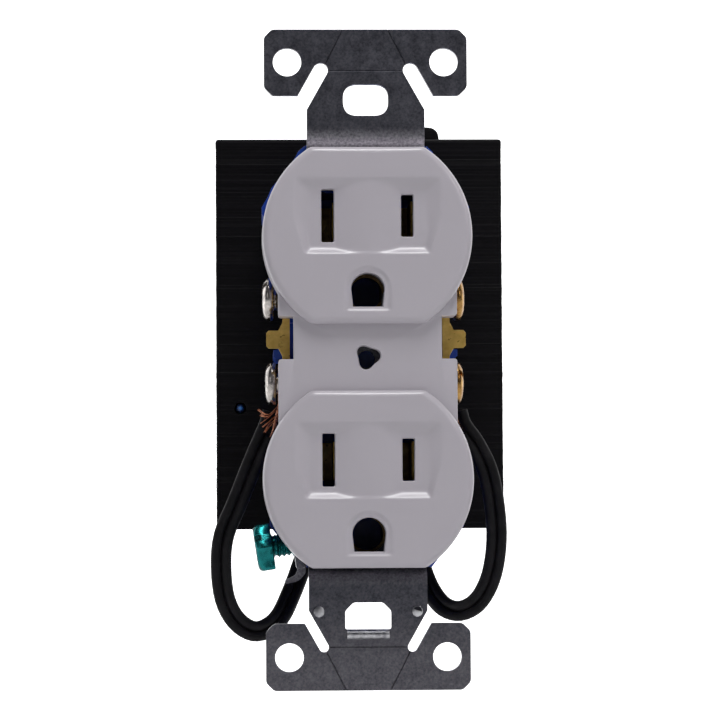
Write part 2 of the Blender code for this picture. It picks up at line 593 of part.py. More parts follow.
def make_screws():
    under = {("neutral", "upper"): 15.0, ("neutral", "lower"): 14.6,
             ("hot", "upper"): 14.5, ("hot", "lower"): 14.3}
    for (kind, word), x in under.items():
        side = -1 if kind == "neutral" else 1
        z = TERMINAL_Z[0 if word == "upper" else 1]
        make_screw(f"{kind}_screw_{word}", x, side, TERMINAL_Y, z, TERMINAL_HEAD, TERMINAL_SHANK_R,
                   x - 9.8, NICKEL if kind == "neutral" else BRASS)
    lean(*make_screw("ground_screw", 15.3, -1, *GROUND_SCREW_YZ, GROUND_HEX, TERMINAL_SHANK_R, 6.4,
                     GREEN, hex_head=True))
    for s, word in ((1, "upper"), (-1, "lower")):
        z = s * FACE_Z + BLADE_DZ
        seat = BODY_Y[1] - 2.2 + GAP
        tip = COVER_BACK_Y - 4.4
        profile = [(0, seat + 1.5), (1.7, seat + 1.5), (ASSEMBLY_HEAD_R, seat + 0.5),
                   (ASSEMBLY_HEAD_R, seat), (1.2, seat), (1.2, tip + 1.0), (0, tip)]
        name = f"assembly_screw_{word}"
        turned(name, profile, (0, 0, z), "y", ZINC, 16)
        cut(bpy.data.objects[name], block(name + "_slot", (-1.9, 1.9), (seat + 0.9, seat + 2),
                                          (z - 0.4, z + 0.4)))


def make_module():
    """The printed case, its front plate, the pad that holds it to the outlet, and what it holds."""
    block("mounting_pad", (-11, 11), (BODY_Y[1] + GAP, CASE_FRONT_Y - GAP), (-24, 28), FOAM)
    (x0, x1), (z0, z1) = CASE_X, CASE_Z
    c = CASE_CHAMFER
    shape = [(x1, z0), (x1, z1 - c), (x1 - c, z1), (x0 + c, z1), (x0, z1 - c), (x0, z0)]
    lid = outline_solid("module_lid", shape, (CASE_FRONT_Y, CASE_FRONT_Y + LID_T), BLACK)
    cut(lid, cylinder("led_hole", (LED_XZ[0], CASE_FRONT_Y, LED_XZ[1]), "y", 1.0, 8, segments=16))
    front = CASE_FRONT_Y + LID_T + GAP
    case = outline_solid("module_case", shape, (front, CASE_BACK_Y), BLACK)
    w = CASE_WALL
    cavity = block("case_cavity", (x0 + w, x1 - w), (front - 1, CASE_BACK_Y - w), (z0 + w, z1 - w))
    lug = outline_solid("case_lug", obround(6.4, z1, 14.0, 4.6), (front, front + 4))
    join(case, lug)
    cut(case, cavity)
    posts = [(px, pz) for px in (x0 + 4.2, x1 - 4.2) for pz in (z0 + 4.2, z1 - 4.2)]
    for i, (px, pz) in enumerate(posts, 1):
        depth = CASE_BACK_Y - w - front
        join(case, cylinder(f"post_{i}", (px, front + depth / 2 + 0.2, pz), "y", 3.0, depth, segments=16))
    for i, (px, pz) in enumerate(posts, 1):
        cut(case, cylinder(f"post_bore_{i}", (px, 35, pz), "y", 1.5, 40, segments=16),
            cylinder(f"post_seat_{i}", (px, CASE_BACK_Y, pz), "y", 2.6, 3.0, segments=16))
        cut(lid, cylinder(f"lid_bore_{i}", (px, CASE_FRONT_Y + LID_T, pz), "y", 1.4, 2.4, segments=16))
        seat = CASE_BACK_Y - 1.5 + GAP
        tip = CASE_FRONT_Y + LID_T - 0.8
        profile = [(0, seat + 1.1), (1.4, seat + 1.1), (2.2, seat + 0.3), (2.2, seat), (1.1, seat),
                   (1.1, tip), (0, tip)]
        name = f"module_screw_{i}"
        turned(name, profile, (px, 0, pz), "y", ZINC, 16)
        cut(bpy.data.objects[name], block(name + "_slot", (px - 1.5, px + 1.5), (seat + 0.7, seat + 2),
                                          (pz - 0.3, pz + 0.3)))
    for i, lx in enumerate(LEAD_HOLE_X, 1):
        cut(case, lead_hole(f"lead_hole_{i}", lx, LEAD_HOLE_Y, z0 - 1, z0 + w + 1))
    block("circuit_board", (x0 + 3.6, x1 - 3.6), (38.6, 40.2), (z0 + 9.4, z1 - 9.4), BOARD)
    block("terminal_block", (-14, 12.5), (25.8, 38.3), (z0 + 10.0, z0 + 19.0), BLACK)
    turned("status_led", [(0, 0.4), (0.5, 0.2), (0.7, -0.2), (0.7, -4.2), (0, -4.2)],
           (LED_XZ[0], CASE_FRONT_Y + 0.3, LED_XZ[1]), "-y", LENS, 16)


def lead_hole(name, x, y, z0, z1):
    """An oval hole through the case's floor for a lead's two conductors."""
    hole = cylinder(name, (x, y, (z0 + z1) / 2), "z", 1.0, z1 - z0, segments=20)
    hole.data.transform(Matrix.Diagonal((*LEAD_HOLE_RADII, 1, 1)))
    return hole


# The leads' middle lines: from beside the lower terminal screws, down and round in an open loop,
# then up behind the strap into the module's floor.
NEUTRAL_ROUTE = [(-16.3, 8.9, -12.0), (-17.9, 9.6, -15.3), (-20.8, 10.8, -22.6), (-23.2, 12.0, -28.4),
                 (-23.7, 13.2, -33.6), (-23.1, 14.4, -38.9), (-21.2, 15.8, -42.6), (-18.4, 17.4, -44.4),
                 (-15.8, 19.3, -43.8), (-13.8, 21.4, -41.9), (-12.1, 24.2, -38.5), (-10.6, 27.0, -34.8),
                 (-9.2, 29.0, -30.2), (-9.2, 29.0, -25.0)]
HOT_ROUTE = [(16.5, 8.9, -11.6), (18.4, 9.4, -14.2), (20.2, 10.0, -18.2), (21.2, 10.7, -22.9),
             (21.7, 11.6, -28.2), (21.4, 12.8, -33.0), (20.4, 14.2, -36.9), (18.6, 16.2, -39.9),
             (16.1, 18.6, -41.3), (13.6, 21.2, -40.7), (11.6, 24.2, -38.2), (10.2, 27.0, -34.6),
             (9.0, 29.0, -30.0), (9.0, 29.0, -25.0)]
SAMPLES = 2                   # points read from the smooth curve for each stretch of a route


def smooth_points(route, samples=SAMPLES):
    """Points on the Catmull-Rom curve through a route."""
    pts = [Vector(p) for p in route]
    pts = [2 * pts[0] - pts[1]] + pts + [2 * pts[-1] - pts[-2]]
    out = []
    for a, b, c, d in zip(pts, pts[1:], pts[2:], pts[3:]):
        for i in range(samples):
            t = i / samples
            out.append(0.5 * ((2 * b) + (c - a) * t + (2 * a - 5 * b + 4 * c - d) * t * t
                              + (3 * b - a - 3 * c + d) * t ** 3))
    return out + [pts[-2]]


def beside(points, offset):
    """The line at a sideways offset from a lead's middle line, in the plane of its loop."""
    out = []
    for i, p in enumerate(points):
        along = points[min(i + 1, len(points) - 1)] - points[max(i - 1, 0)]
        across = Vector((along.z, 0.0, -along.x)).normalized()
        out.append(p + across * offset)
    return out


def tube(name, points, radius, mat):
    curve = bpy.data.curves.new(name, "CURVE")
    curve.dimensions = "3D"
    curve.bevel_depth = radius * MM
    curve.bevel_resolution = 2
    curve.use_fill_caps = True
    spline = curve.splines.new("POLY")
    spline.points.add(len(points) - 1)
    for point, p in zip(spline.points, points):
        point.co = (*(Vector(p) * MM), 1.0)
    curve.materials.append(mat)
    obj = bpy.data.objects.new(name, curve)
    PARTS.objects.link(obj)
    return obj


def make_leads():
    for kind, route, side in (("neutral", NEUTRAL_ROUTE, -1), ("hot", HOT_ROUTE, 1)):
        middle = smooth_points(route)
        half = CONDUCTOR_PITCH / 2
        outer = beside(middle, -side * half)
        inner = beside(middle, side * half)
        # the outer conductor runs on up to the edge of the screw's head
        lift = [Vector((side * 15.9, 8.4, -8.1)), Vector((side * 16.5, 8.6, -10.1))]
        tube(f"{kind}_lead_outer", lift + outer[1:], CONDUCTOR_R, VINYL)
        tube(f"{kind}_lead_inner", inner, CONDUCTOR_R, VINYL)
        # the bared strands pass under the screw's head, round the shank
        hook_r = TERMINAL_SHANK_R + 0.85
        x = side * (PLATE_X + SHEET + 0.4)
        start = inner[0] + (inner[0] - inner[1]).normalized() * 0.35
        hook = [start, Vector((side * 14.1, 9.6, -9.0))]
        hook += [Vector((x, TERMINAL_Y + hook_r * math.cos(a), TERMINAL_Z[1] + hook_r * math.sin(a)))
                 for a in [math.radians(-50 + 25 * i) for i in range(10)]]
        tube(f"{kind}_wire_end", hook, 0.25, COPPER)


make_strap()
make_cover()
make_body()
make_contact("neutral_contact_strip", -1)
make_contact("hot_contact_strip", 1)
make_ground_contacts()
make_screws()
make_module()
make_leads()
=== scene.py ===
import math
import random

import bmesh
import bpy
from mathutils import Matrix, Vector


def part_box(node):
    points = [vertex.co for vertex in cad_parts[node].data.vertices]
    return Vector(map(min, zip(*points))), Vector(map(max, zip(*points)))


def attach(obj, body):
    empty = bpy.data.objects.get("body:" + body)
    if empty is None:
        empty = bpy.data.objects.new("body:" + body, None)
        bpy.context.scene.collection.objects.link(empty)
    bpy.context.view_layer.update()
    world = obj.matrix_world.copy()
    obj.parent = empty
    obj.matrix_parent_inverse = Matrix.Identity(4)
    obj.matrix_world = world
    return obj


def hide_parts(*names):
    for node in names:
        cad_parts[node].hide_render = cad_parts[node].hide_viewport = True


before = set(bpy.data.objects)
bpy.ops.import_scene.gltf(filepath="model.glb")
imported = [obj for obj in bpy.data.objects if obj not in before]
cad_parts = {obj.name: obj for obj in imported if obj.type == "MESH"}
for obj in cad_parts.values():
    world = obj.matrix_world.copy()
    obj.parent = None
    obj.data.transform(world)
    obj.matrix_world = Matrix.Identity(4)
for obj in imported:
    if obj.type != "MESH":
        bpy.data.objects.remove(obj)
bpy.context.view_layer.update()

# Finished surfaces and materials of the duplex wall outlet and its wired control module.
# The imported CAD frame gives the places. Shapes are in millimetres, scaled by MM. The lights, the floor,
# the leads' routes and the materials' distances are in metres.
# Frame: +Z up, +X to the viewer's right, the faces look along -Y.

MM = 0.001
BODY = "outlet"


# ---- places read from the frame

def corners(node):
    """A CAD node's lowest and highest corners, in millimetres."""
    low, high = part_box(node)
    return low / MM, high / MM


COVER_LO, COVER_HI = corners("front_cover")
STRAP_HI = corners("mounting_strap")[1]
LID_LO, LID_HI = corners("module_lid")
CASE_LO, CASE_HI = corners("module_case")

# cover
FACE_R = COVER_HI.x
FACE_Y = COVER_LO.y
FACE_HALF_FLAT = 14.2
FACE_Z = COVER_HI.z - FACE_HALF_FLAT
BACK_Y = COVER_HI.y
BRIDGE_Y = FACE_Y + 1.8
BASE_HALF_W = 14.25
BASE_HALF_H = 25.0
NOTCH_HALF_W = 11.8
NOTCH_Z = (-0.3, 6.6)
RIM_R = 1.15
BLADE_X = 6.35
BLADE_DZ = 3.05
GROUND_DZ = -8.75
GROUND_R = 2.65

# strap
STRAP_T = 1.3
STRAP_Y = -STRAP_T / 2
EAR_HALF_W = STRAP_HI.x
STRAP_HALF_H = STRAP_HI.z
EAR_INNER_Z = 42.5
NECK_HALF_W = 9.5
BEND_Z = (35.9, 32.7)
SPAN_Y = 2.8
FLANGE_X = (-12.0, -10.7)
GROUND_SCREW_YZ = (8.0, -29.6)
GROUND_LEAN = math.radians(-8.6)


# ---- camera, lights and floor

CAMERA_AT = Vector((-17.845, -490.0, -23.02)) * MM
CAMERA_YAW = -0.034216
CAMERA_PITCH = 0.046502
CAMERA_ROLL = 0.0053193
CAMERA_LENS = 152.25

SKY_COLOR = (0.93, 0.94, 1.0, 1.0)
SKY_STRENGTH = 0.11
# name, place, size and power; each light is aimed at the middle of the outlet
LIGHTS = (("key", (0.03, -0.25, 0.60), 0.26, 2.95),
          ("left_fill", (-0.52, -0.50, 0.26), 0.24, 0.16),
          ("right_strip", (0.36, -0.34, 0.26), 0.09, 0.36))

FLOOR_Z = -0.085
FLOOR_FRONT_Y = -1.6
STAGE_HALF_W = 2.2
BACKDROP_Y = 0.55
BACKDROP_TOP_Z = 1.6
TURN_R = 0.25
GLOW_FROM_Y, GLOW_FULL_Y = 0.12, 0.42


def linked(name, data):
    """A new object in the scene."""
    obj = bpy.data.objects.new(name, data)
    bpy.context.scene.collection.objects.link(obj)
    return obj


def make_camera():
    data = bpy.data.cameras.new("camera")
    data.lens = CAMERA_LENS
    data.sensor_width = 36.0
    data.clip_start = 0.01
    data.clip_end = 20.0
    camera = linked("camera", data)
    camera.matrix_world = (Matrix.Translation(CAMERA_AT) @ Matrix.Rotation(CAMERA_YAW, 4, "Z")
                           @ Matrix.Rotation(CAMERA_PITCH, 4, "X") @ Matrix.Rotation(CAMERA_ROLL, 4, "Y")
                           @ Matrix.Rotation(math.pi / 2, 4, "X"))
    bpy.context.scene.camera = camera


def area_light(name, at, size, power):
    data = bpy.data.lights.new(name, "AREA")
    data.size = size
    data.energy = power
    light = linked(name, data)
    light.location = at
    light.rotation_mode = "QUATERNION"
    light.rotation_quaternion = (-Vector(at)).to_track_quat("-Z", "Y")


def make_lights():
    world = bpy.data.worlds.new("studio")
    world.use_nodes = True
    sky = world.node_tree.nodes["Background"]
    sky.inputs["Color"].default_value = SKY_COLOR
    sky.inputs["Strength"].default_value = SKY_STRENGTH
    bpy.context.scene.world = world
    bpy.context.scene.view_settings.view_transform = "Standard"
    for name, at, size, power in LIGHTS:
        area_light(name, at, size, power)


def make_stage():
    """A pale floor that curves up into a backdrop far behind."""
    bm = bmesh.new()
    turn_y = BACKDROP_Y - TURN_R
    profile = [(FLOOR_FRONT_Y, FLOOR_Z), (turn_y, FLOOR_Z)]
    for i in range(1, 9):
        a = math.pi / 2 * i / 8
        profile.append((turn_y + TURN_R * math.sin(a), FLOOR_Z + TURN_R * (1 - math.cos(a))))
    profile.append((BACKDROP_Y, BACKDROP_TOP_Z))
    row = [bm.verts.new((-STAGE_HALF_W, y, z)) for y, z in profile]
    edges = [bm.edges.new(pair) for pair in zip(row, row[1:])]
    swept = bmesh.ops.extrude_edge_only(bm, edges=edges)["geom"]
    far_side = [v for v in swept if isinstance(v, bmesh.types.BMVert)]
    bmesh.ops.translate(bm, vec=(2 * STAGE_HALF_W, 0, 0), verts=far_side)
    stage = finished(bm, "floor")
    look = Look("pale_floor", (0.90, 0.90, 0.90), 0.8)
    look.color(look.ramp(look.noise(6.0, 3), ((0.35, (0.80, 0.80, 0.81)), (0.65, (0.84, 0.84, 0.84)))))
    glow = look.along("Y", 1.0, ((GLOW_FROM_Y, 0.0), (GLOW_FULL_Y, 1.0)))
    look.link(glow, look.shader.inputs["Emission Color"])
    look.fixed("Emission Strength", 1.05)
    paint(stage, look.mat)


# ---- mesh helpers

def finished(bm, name, sharp=None):
    """Turn a bmesh into a linked object, smooth shaded with sharp edges above an angle in degrees."""
    bmesh.ops.recalc_face_normals(bm, faces=bm.faces)
    mesh = bpy.data.meshes.new(name)
    bm.to_mesh(mesh)
    bm.free()
    obj = linked(name, mesh)
    if sharp is not None:
        soften(obj, sharp)
    return obj


def paint(obj, *looks):
    """Give a piece its materials, in place of any that it has."""
    obj.data.materials.clear()
    for look in looks:
        obj.data.materials.append(look)


def soften(obj, sharp):
    """Shade smooth, but keep edges sharper than an angle in degrees."""
    obj.data.shade_smooth()
    obj.data.set_sharp_from_angle(angle=math.radians(sharp))


def apply_modifiers(obj):
    """Replace a piece's mesh with what its modifiers make of it."""
    graph = bpy.context.evaluated_depsgraph_get()
    mesh = bpy.data.meshes.new_from_object(obj.evaluated_get(graph))
    mesh.name = obj.name
    old = obj.data
    obj.modifiers.clear()
    obj.data = mesh
    bpy.data.meshes.remove(old)


def combine(obj, operation, helpers):
    """Apply one Boolean for each helper piece, then remove the helpers."""
    for helper in helpers:
        mod = obj.modifiers.new(helper.name, "BOOLEAN")
        mod.operation = operation
        mod.solver = "EXACT"
        mod.object = helper
    apply_modifiers(obj)
    for helper in helpers:
        bpy.data.objects.remove(helper, do_unlink=True)


def round_edges(obj, width, segments=2, angle=35):
    """Bevel the edges that turn by more than an angle in degrees."""
    mod = obj.modifiers.new("edges", "BEVEL")
    mod.width = width * MM
    mod.segments = segments
    mod.limit_method = "ANGLE"
    mod.angle_limit = math.radians(angle)
    mod.use_clamp_overlap = True


def loft(bm, rings):
    """Skin a row of rings with equal point counts, given in millimetres, and cap both ends."""
    loops = [[bm.verts.new(Vector(p) * MM) for p in ring] for ring in rings]
    for a, b in zip(loops, loops[1:]):
        n = len(a)
        for i in range(n):
            j = (i + 1) % n
            bm.faces.new((a[i], a[j], b[j], b[i]))
    bm.faces.new(loops[0])
    bm.faces.new(loops[-1])


def prism(name, points, y0, y1, flare=()):
    """A solid whose front outline is a list of (x, z); flare holds (y, outward offset) pairs in between."""
    cx = sum(p[0] for p in points) / len(points)
    cz = sum(p[1] for p in points) / len(points)
    half = max(abs(p[0] - cx) for p in points), max(abs(p[1] - cz) for p in points)
    first = flare[0][1] if flare else 0.0
    rings = []
    for y, offset in ((y0, first), *flare, (y1, 0.0)):
        sx, sz = 1 + offset / half[0], 1 + offset / half[1]
        rings.append([(cx + (x - cx) * sx, y, cz + (z - cz) * sz) for x, z in points])
    bm = bmesh.new()
    loft(bm, rings)
    return finished(bm, name)


def block(name, x, y, z, bevel=0.0, segments=2):
    """A box between limits, with all its edges rounded where a bevel is given."""
    bm = bmesh.new()
    bmesh.ops.create_cube(bm, size=1.0)
    size = Vector((x[1] - x[0], y[1] - y[0], z[1] - z[0])) * MM
    middle = Vector((x[0] + x[1], y[0] + y[1], z[0] + z[1])) * MM / 2
    bmesh.ops.scale(bm, vec=size, verts=bm.verts)
    bmesh.ops.translate(bm, vec=middle, verts=bm.verts)
    if bevel:
        bmesh.ops.bevel(bm, geom=bm.edges[:], offset=bevel * MM, segments=segments, profile=0.5,
                        affect="EDGES")
    return finished(bm, name)


def rod(name, centre, axis, radius, length, segments=40):
    """A plain round cutter or boss along a world axis."""
    turn = {"x": Matrix.Rotation(math.pi / 2, 4, "Y"), "y": Matrix.Rotation(math.pi / 2, 4, "X"),
            "z": Matrix.Identity(4)}[axis]
    bm = bmesh.new()
    bmesh.ops.create_cone(bm, cap_ends=True, segments=segments, radius1=radius * MM, radius2=radius * MM,
                          depth=length * MM, matrix=Matrix.Translation(Vector(centre) * MM) @ turn)
    return finished(bm, name)


def arc(cx, cz, radius, start, end, count):
    """Points on an arc, with angles in degrees."""
    angles = [math.radians(start + (end - start) * i / count) for i in range(count + 1)]
    return [(cx + radius * math.cos(a), cz + radius * math.sin(a)) for a in angles]


def rounded_outline(corner_points, radius, count=5):
    """A polygon with every corner rounded off, by one radius or by a list of them."""
    out = []
    n = len(corner_points)
    for i, p in enumerate(corner_points):
        p = Vector(p)
        before = Vector(corner_points[i - 1]) - p
        after = Vector(corner_points[(i + 1) % n]) - p
        r = radius[i] if isinstance(radius, (list, tuple)) else radius
        r = min(r, before.length * 0.45, after.length * 0.45)
        a, b = p + before.normalized() * r, p + after.normalized() * r
        for k in range(count + 1):
            t = k / count
            q = a * (1 - t) ** 2 + p * 2 * t * (1 - t) + b * t ** 2
            out.append((q.x, q.y))
    return out


def smoothstep(a, b, t):
    """0 below a, 1 above b, and an even S-curve between."""
    t = min(max((t - a) / (b - a), 0.0), 1.0)
    return t * t * (3 - 2 * t)


def soft_min(values, k):
    """The least of some values, with its creases rounded over about k."""
    low = min(values)
    return low - k * math.log(sum(math.exp(-(v - low) / k) for v in values))


# ---- material helper

class Look:
    """A procedural material: a Principled shader and the texture nodes that feed it."""

    def __init__(self, name, base, roughness, metallic=0.0):
        self.mat = bpy.data.materials.new(name)
        self.mat.use_nodes = True
        self.tree = self.mat.node_tree
        self.shader = self.tree.nodes["Principled BSDF"]
        self.fixed("Base Color", (*base, 1.0))
        self.fixed("Roughness", roughness)
        self.fixed("Metallic", metallic)
        self.where = self.tree.nodes.new("ShaderNodeTexCoord").outputs["Object"]

    def fixed(self, socket, value):
        self.shader.inputs[socket].default_value = value

    def link(self, out, into):
        self.tree.links.new(out, into)

    def stretched(self, scale):
        node = self.tree.nodes.new("ShaderNodeMapping")
        node.inputs["Scale"].default_value = scale
        self.link(self.where, node.inputs["Vector"])
        return node.outputs["Vector"]

    def noise(self, scale, detail=3.0, roughness=0.5, stretch=None):
        node = self.tree.nodes.new("ShaderNodeTexNoise")
        for socket, value in (("Scale", scale), ("Detail", detail), ("Roughness", roughness)):
            node.inputs[socket].default_value = value
        self.link(self.stretched(stretch) if stretch else self.where, node.inputs["Vector"])
        return node.outputs["Fac"]

    def ramp(self, factor, stops):
        """A ramp from 0 to 1 through stops of (place, grey or colour)."""
        node = self.tree.nodes.new("ShaderNodeValToRGB")
        points = node.color_ramp.elements
        while len(points) < len(stops):
            points.new(0.5)
        for point, (at, value) in zip(points, stops):
            point.position = at
            point.color = (*value, 1.0) if isinstance(value, tuple) else (value, value, value, 1.0)
        self.link(factor, node.inputs["Fac"])
        return node.outputs["Color"]

    def along(self, axis, span, stops):
        """A ramp over one axis of the frame; its stops are in metres and lie within the span."""
        node = self.tree.nodes.new("ShaderNodeSeparateXYZ")
        self.link(self.where, node.inputs["Vector"])
        low = min(0.0, *(at for at, value in stops))
        shifted = self.tree.nodes.new("ShaderNodeMath")
        shifted.operation = "MULTIPLY_ADD"
        self.link(node.outputs[axis], shifted.inputs[0])
        shifted.inputs[1].default_value = 1 / span
        shifted.inputs[2].default_value = -low / span
        return self.ramp(shifted.outputs["Value"], [((at - low) / span, v) for at, v in stops])

    def mix(self, factor, a, b):
        node = self.tree.nodes.new("ShaderNodeMix")
        node.data_type = "RGBA"
        self.link(factor, node.inputs["Factor"])
        for value, socket in ((a, node.inputs["A"]), (b, node.inputs["B"])):
            if isinstance(value, tuple):
                socket.default_value = (*value, 1.0)
            else:
                self.link(value, socket)
        return node.outputs["Result"]

    def add(self, a, b, share):
        node = self.tree.nodes.new("ShaderNodeMath")
        node.operation = "MULTIPLY_ADD"
        self.link(b, node.inputs[0])
        node.inputs[1].default_value = share
        self.link(a, node.inputs[2])
        return node.outputs["Value"]

    def color(self, out):
        self.link(out, self.shader.inputs["Base Color"])

    def roughness(self, factor, low, high):
        self.link(self.ramp(factor, ((0.3, low), (0.7, high))), self.shader.inputs["Roughness"])

    def bump(self, height, distance):
        node = self.tree.nodes.new("ShaderNodeBump")
        node.inputs["Distance"].default_value = distance * MM
        node.inputs["Strength"].default_value = 1.0
        self.link(height, node.inputs["Height"])
        self.link(node.outputs["Normal"], self.shader.inputs["Normal"])


def white_plastic():
    """Smooth moulded nylon, a little violet under the light."""
    look = Look("white_plastic", (0.52, 0.50, 0.54), 0.3)
    cloud = look.noise(55, 2)
    look.color(look.ramp(cloud, ((0.3, (0.460, 0.433, 0.473)), (0.7, (0.470, 0.443, 0.482)))))
    look.roughness(look.noise(420, 3), 0.275, 0.30)
    look.bump(look.noise(1400, 3), 0.0014)
    look.fixed("Subsurface Weight", 0.04)
    look.fixed("Subsurface Radius", (0.0012, 0.001, 0.001))
    return look.mat


STRAP_SPAN = 0.12              # the height that the strap's ramps cover


def galvanised_steel():
    """Dull zinc with a fine grain, paler at the foot, with a painted highlight: a bright band across the
    upper bend and a faint one across the lower bend.
    """
    look = Look("galvanised_steel", (0.1, 0.1, 0.12), 0.45, 0.85)
    grain = look.noise(2600, 4, 0.65)
    cloud = look.noise(520, 4, 0.6)
    tone = look.add(grain, cloud, 0.5)
    dark = look.ramp(tone, ((0.55, (0.056, 0.056, 0.070)), (0.95, (0.120, 0.120, 0.140))))
    pale = look.ramp(tone, ((0.55, (0.096, 0.094, 0.110)), (0.95, (0.186, 0.180, 0.200))))
    # painted highlight: the bright colour laid into the base colour at the bends
    bright = look.ramp(grain, ((0.35, (0.30, 0.29, 0.32)), (0.65, (0.66, 0.64, 0.68))))
    foot = look.along("Z", STRAP_SPAN, ((-0.060, 1.0), (-0.046, 0.8), (-0.041, 0.1), (-0.036, 0.0)))
    # where the painted highlight lies: strong across the upper bend, faint across the lower
    bend = look.along("Z", STRAP_SPAN, ((-0.0365, 0.0), (-0.0345, 0.2), (-0.0330, 0.0), (0.0330, 0.4),
                                        (0.0346, 1.0), (0.0362, 0.35), (0.0372, 0.0)))
    look.color(look.mix(bend, look.mix(foot, dark, pale), bright))
    look.roughness(cloud, 0.36, 0.50)
    look.bump(look.add(grain, cloud, 0.4), 0.02)
    return look.mat


def steel_edge():
    """Bare steel at the sheared edges, set brighter than the rolled faces as a painted highlight; the lower
    lip and pips get it as a painted highlight only.
    """
    look = Look("bare_edge_painted_highlight", (0.5, 0.5, 0.52), 0.3, 0.95)
    look.color(look.ramp(look.noise(900, 4), ((0.35, (0.24, 0.24, 0.26)), (0.65, (0.62, 0.62, 0.64)))))
    look.roughness(look.noise(900, 3), 0.30, 0.45)
    look.bump(look.noise(1500, 3, stretch=(1, 8, 1)), 0.02)
    return look.mat


def metal(name, dark, light, low, high, scale=500, bump=0.012, metallic=1.0):
    """A worked metal: tone and gloss vary in patches, with fine tool marks."""
    look = Look(name, light, low, metallic)
    patches = look.noise(scale, 5, 0.6)
    look.color(look.ramp(patches, ((0.35, dark), (0.68, light))))
    look.roughness(look.noise(scale * 1.7, 4), low, high)
    look.bump(look.add(patches, look.noise(scale * 4, 3, stretch=(1, 1, 5)), 0.6), bump)
    return look.mat


def moulded(name, dark, light, low, high, specular, scale, bump):
    """A moulded or printed plastic with faint clouds and a fine skin."""
    look = Look(name, light, low)
    look.color(look.ramp(look.noise(scale, 4), ((0.35, dark), (0.68, light))))
    look.roughness(look.noise(scale * 2.2, 4), low, high)
    look.bump(look.noise(scale * 5, 3), bump)
    look.fixed("Specular IOR Level", specular)
    return look.mat


def printed_black():
    """Matt black printed plastic, streaked along its layers."""
    look = Look("black_print", (0.006, 0.006, 0.007), 0.5)
    layers = look.noise(100, 5, 0.7, (0.15, 0.15, 42.0))
    look.color(look.ramp(layers, ((0.35, (0.0016, 0.0014, 0.0020)), (0.7, (0.0042, 0.0036, 0.0050)))))
    look.roughness(layers, 0.42, 0.62)
    look.bump(look.add(layers, look.noise(700, 4), 0.3), 0.05)
    look.fixed("Specular IOR Level", 0.09)
    return look.mat


def contact_brass():
    """Sheet brass, bright at the front edge, with painted shade: darker inside the body, where the contacts
    lie in shade.
    """
    look = Look("brass", (0.5, 0.35, 0.12), 0.34, 0.6)
    patches = look.noise(520, 5, 0.6)
    bright = look.ramp(patches, ((0.35, (0.50, 0.315, 0.07)), (0.68, (0.72, 0.485, 0.13))))
    painted_shade_brass = look.ramp(patches, ((0.35, (0.13, 0.080, 0.026)), (0.68, (0.25, 0.165, 0.055))))
    # painted shade: from 3.5 to 5.5 mm behind the front the brass fades into its dark, shaded copy
    look.color(look.mix(look.along("Y", 0.02, ((0.0035, 0.0), (0.0055, 1.0))), bright, painted_shade_brass))
    look.roughness(look.noise(900, 4), 0.26, 0.44)
    look.bump(look.add(patches, look.noise(2000, 3, stretch=(1, 1, 5)), 0.6), 0.015)
    return look.mat


LENS_REACH = 0.002             # how far the lens's ramp reaches from its middle


def lit_lens(centre):
    """A clear lens that is lit only at its middle."""
    look = Look("led_lens", (0.02, 0.05, 0.16), 0.15)
    away = look.tree.nodes.new("ShaderNodeVectorMath")
    away.operation = "DISTANCE"
    look.link(look.where, away.inputs[0])
    away.inputs[1].default_value = centre
    share = look.tree.nodes.new("ShaderNodeMath")
    share.operation = "DIVIDE"
    look.link(away.outputs["Value"], share.inputs[0])
    share.inputs[1].default_value = LENS_REACH
    glow = look.ramp(share.outputs[0], ((0.08, (0.05, 0.22, 0.62)), (0.24, (0.003, 0.006, 0.02))))
    look.color(look.mix(look.noise(1500), glow, (0.01, 0.03, 0.10)))
    look.link(glow, look.shader.inputs["Emission Color"])
    look.fixed("Emission Strength", 0.08)
    look.roughness(look.noise(800), 0.1, 0.2)
    return look.mat


# ---- leads (round cords)

# The leads' middle lines, in metres: from beside the lower terminal screws, down and round in an open
# loop, then up behind the strap into the module's floor. The CAD solids follow the same points.
NEUTRAL_ROUTE = [(-0.0163, 0.0089, -0.0120), (-0.0179, 0.0096, -0.0153), (-0.0208, 0.0108, -0.0226),
                 (-0.0232, 0.0120, -0.0284), (-0.0237, 0.0132, -0.0336), (-0.0231, 0.0144, -0.0389),
                 (-0.0212, 0.0158, -0.0426), (-0.0184, 0.0174, -0.0444), (-0.0158, 0.0193, -0.0438),
                 (-0.0138, 0.0214, -0.0419), (-0.0121, 0.0242, -0.0385), (-0.0106, 0.0270, -0.0348),
                 (-0.0092, 0.0290, -0.0302), (-0.0092, 0.0290, -0.0250)]
HOT_ROUTE = [(0.0165, 0.0089, -0.0116), (0.0184, 0.0094, -0.0142), (0.0202, 0.0100, -0.0182),
             (0.0212, 0.0107, -0.0229), (0.0217, 0.0116, -0.0282), (0.0214, 0.0128, -0.0330),
             (0.0204, 0.0142, -0.0369), (0.0186, 0.0162, -0.0399), (0.0161, 0.0186, -0.0413),
             (0.0136, 0.0212, -0.0407), (0.0116, 0.0242, -0.0382), (0.0102, 0.0270, -0.0346),
             (0.0090, 0.0290, -0.0300), (0.0090, 0.0290, -0.0250)]
CONDUCTOR_R = 0.00088
CONDUCTOR_PITCH = 0.00166
ROUTE_SAMPLES = 4

STRAND_COUNT = 16
# in millimetres; the strands hook round the screw's shank
STRAND_R, STRAY_R = 0.105, 0.062
HOOK_R, HOOK_X = 2.6, 13.95


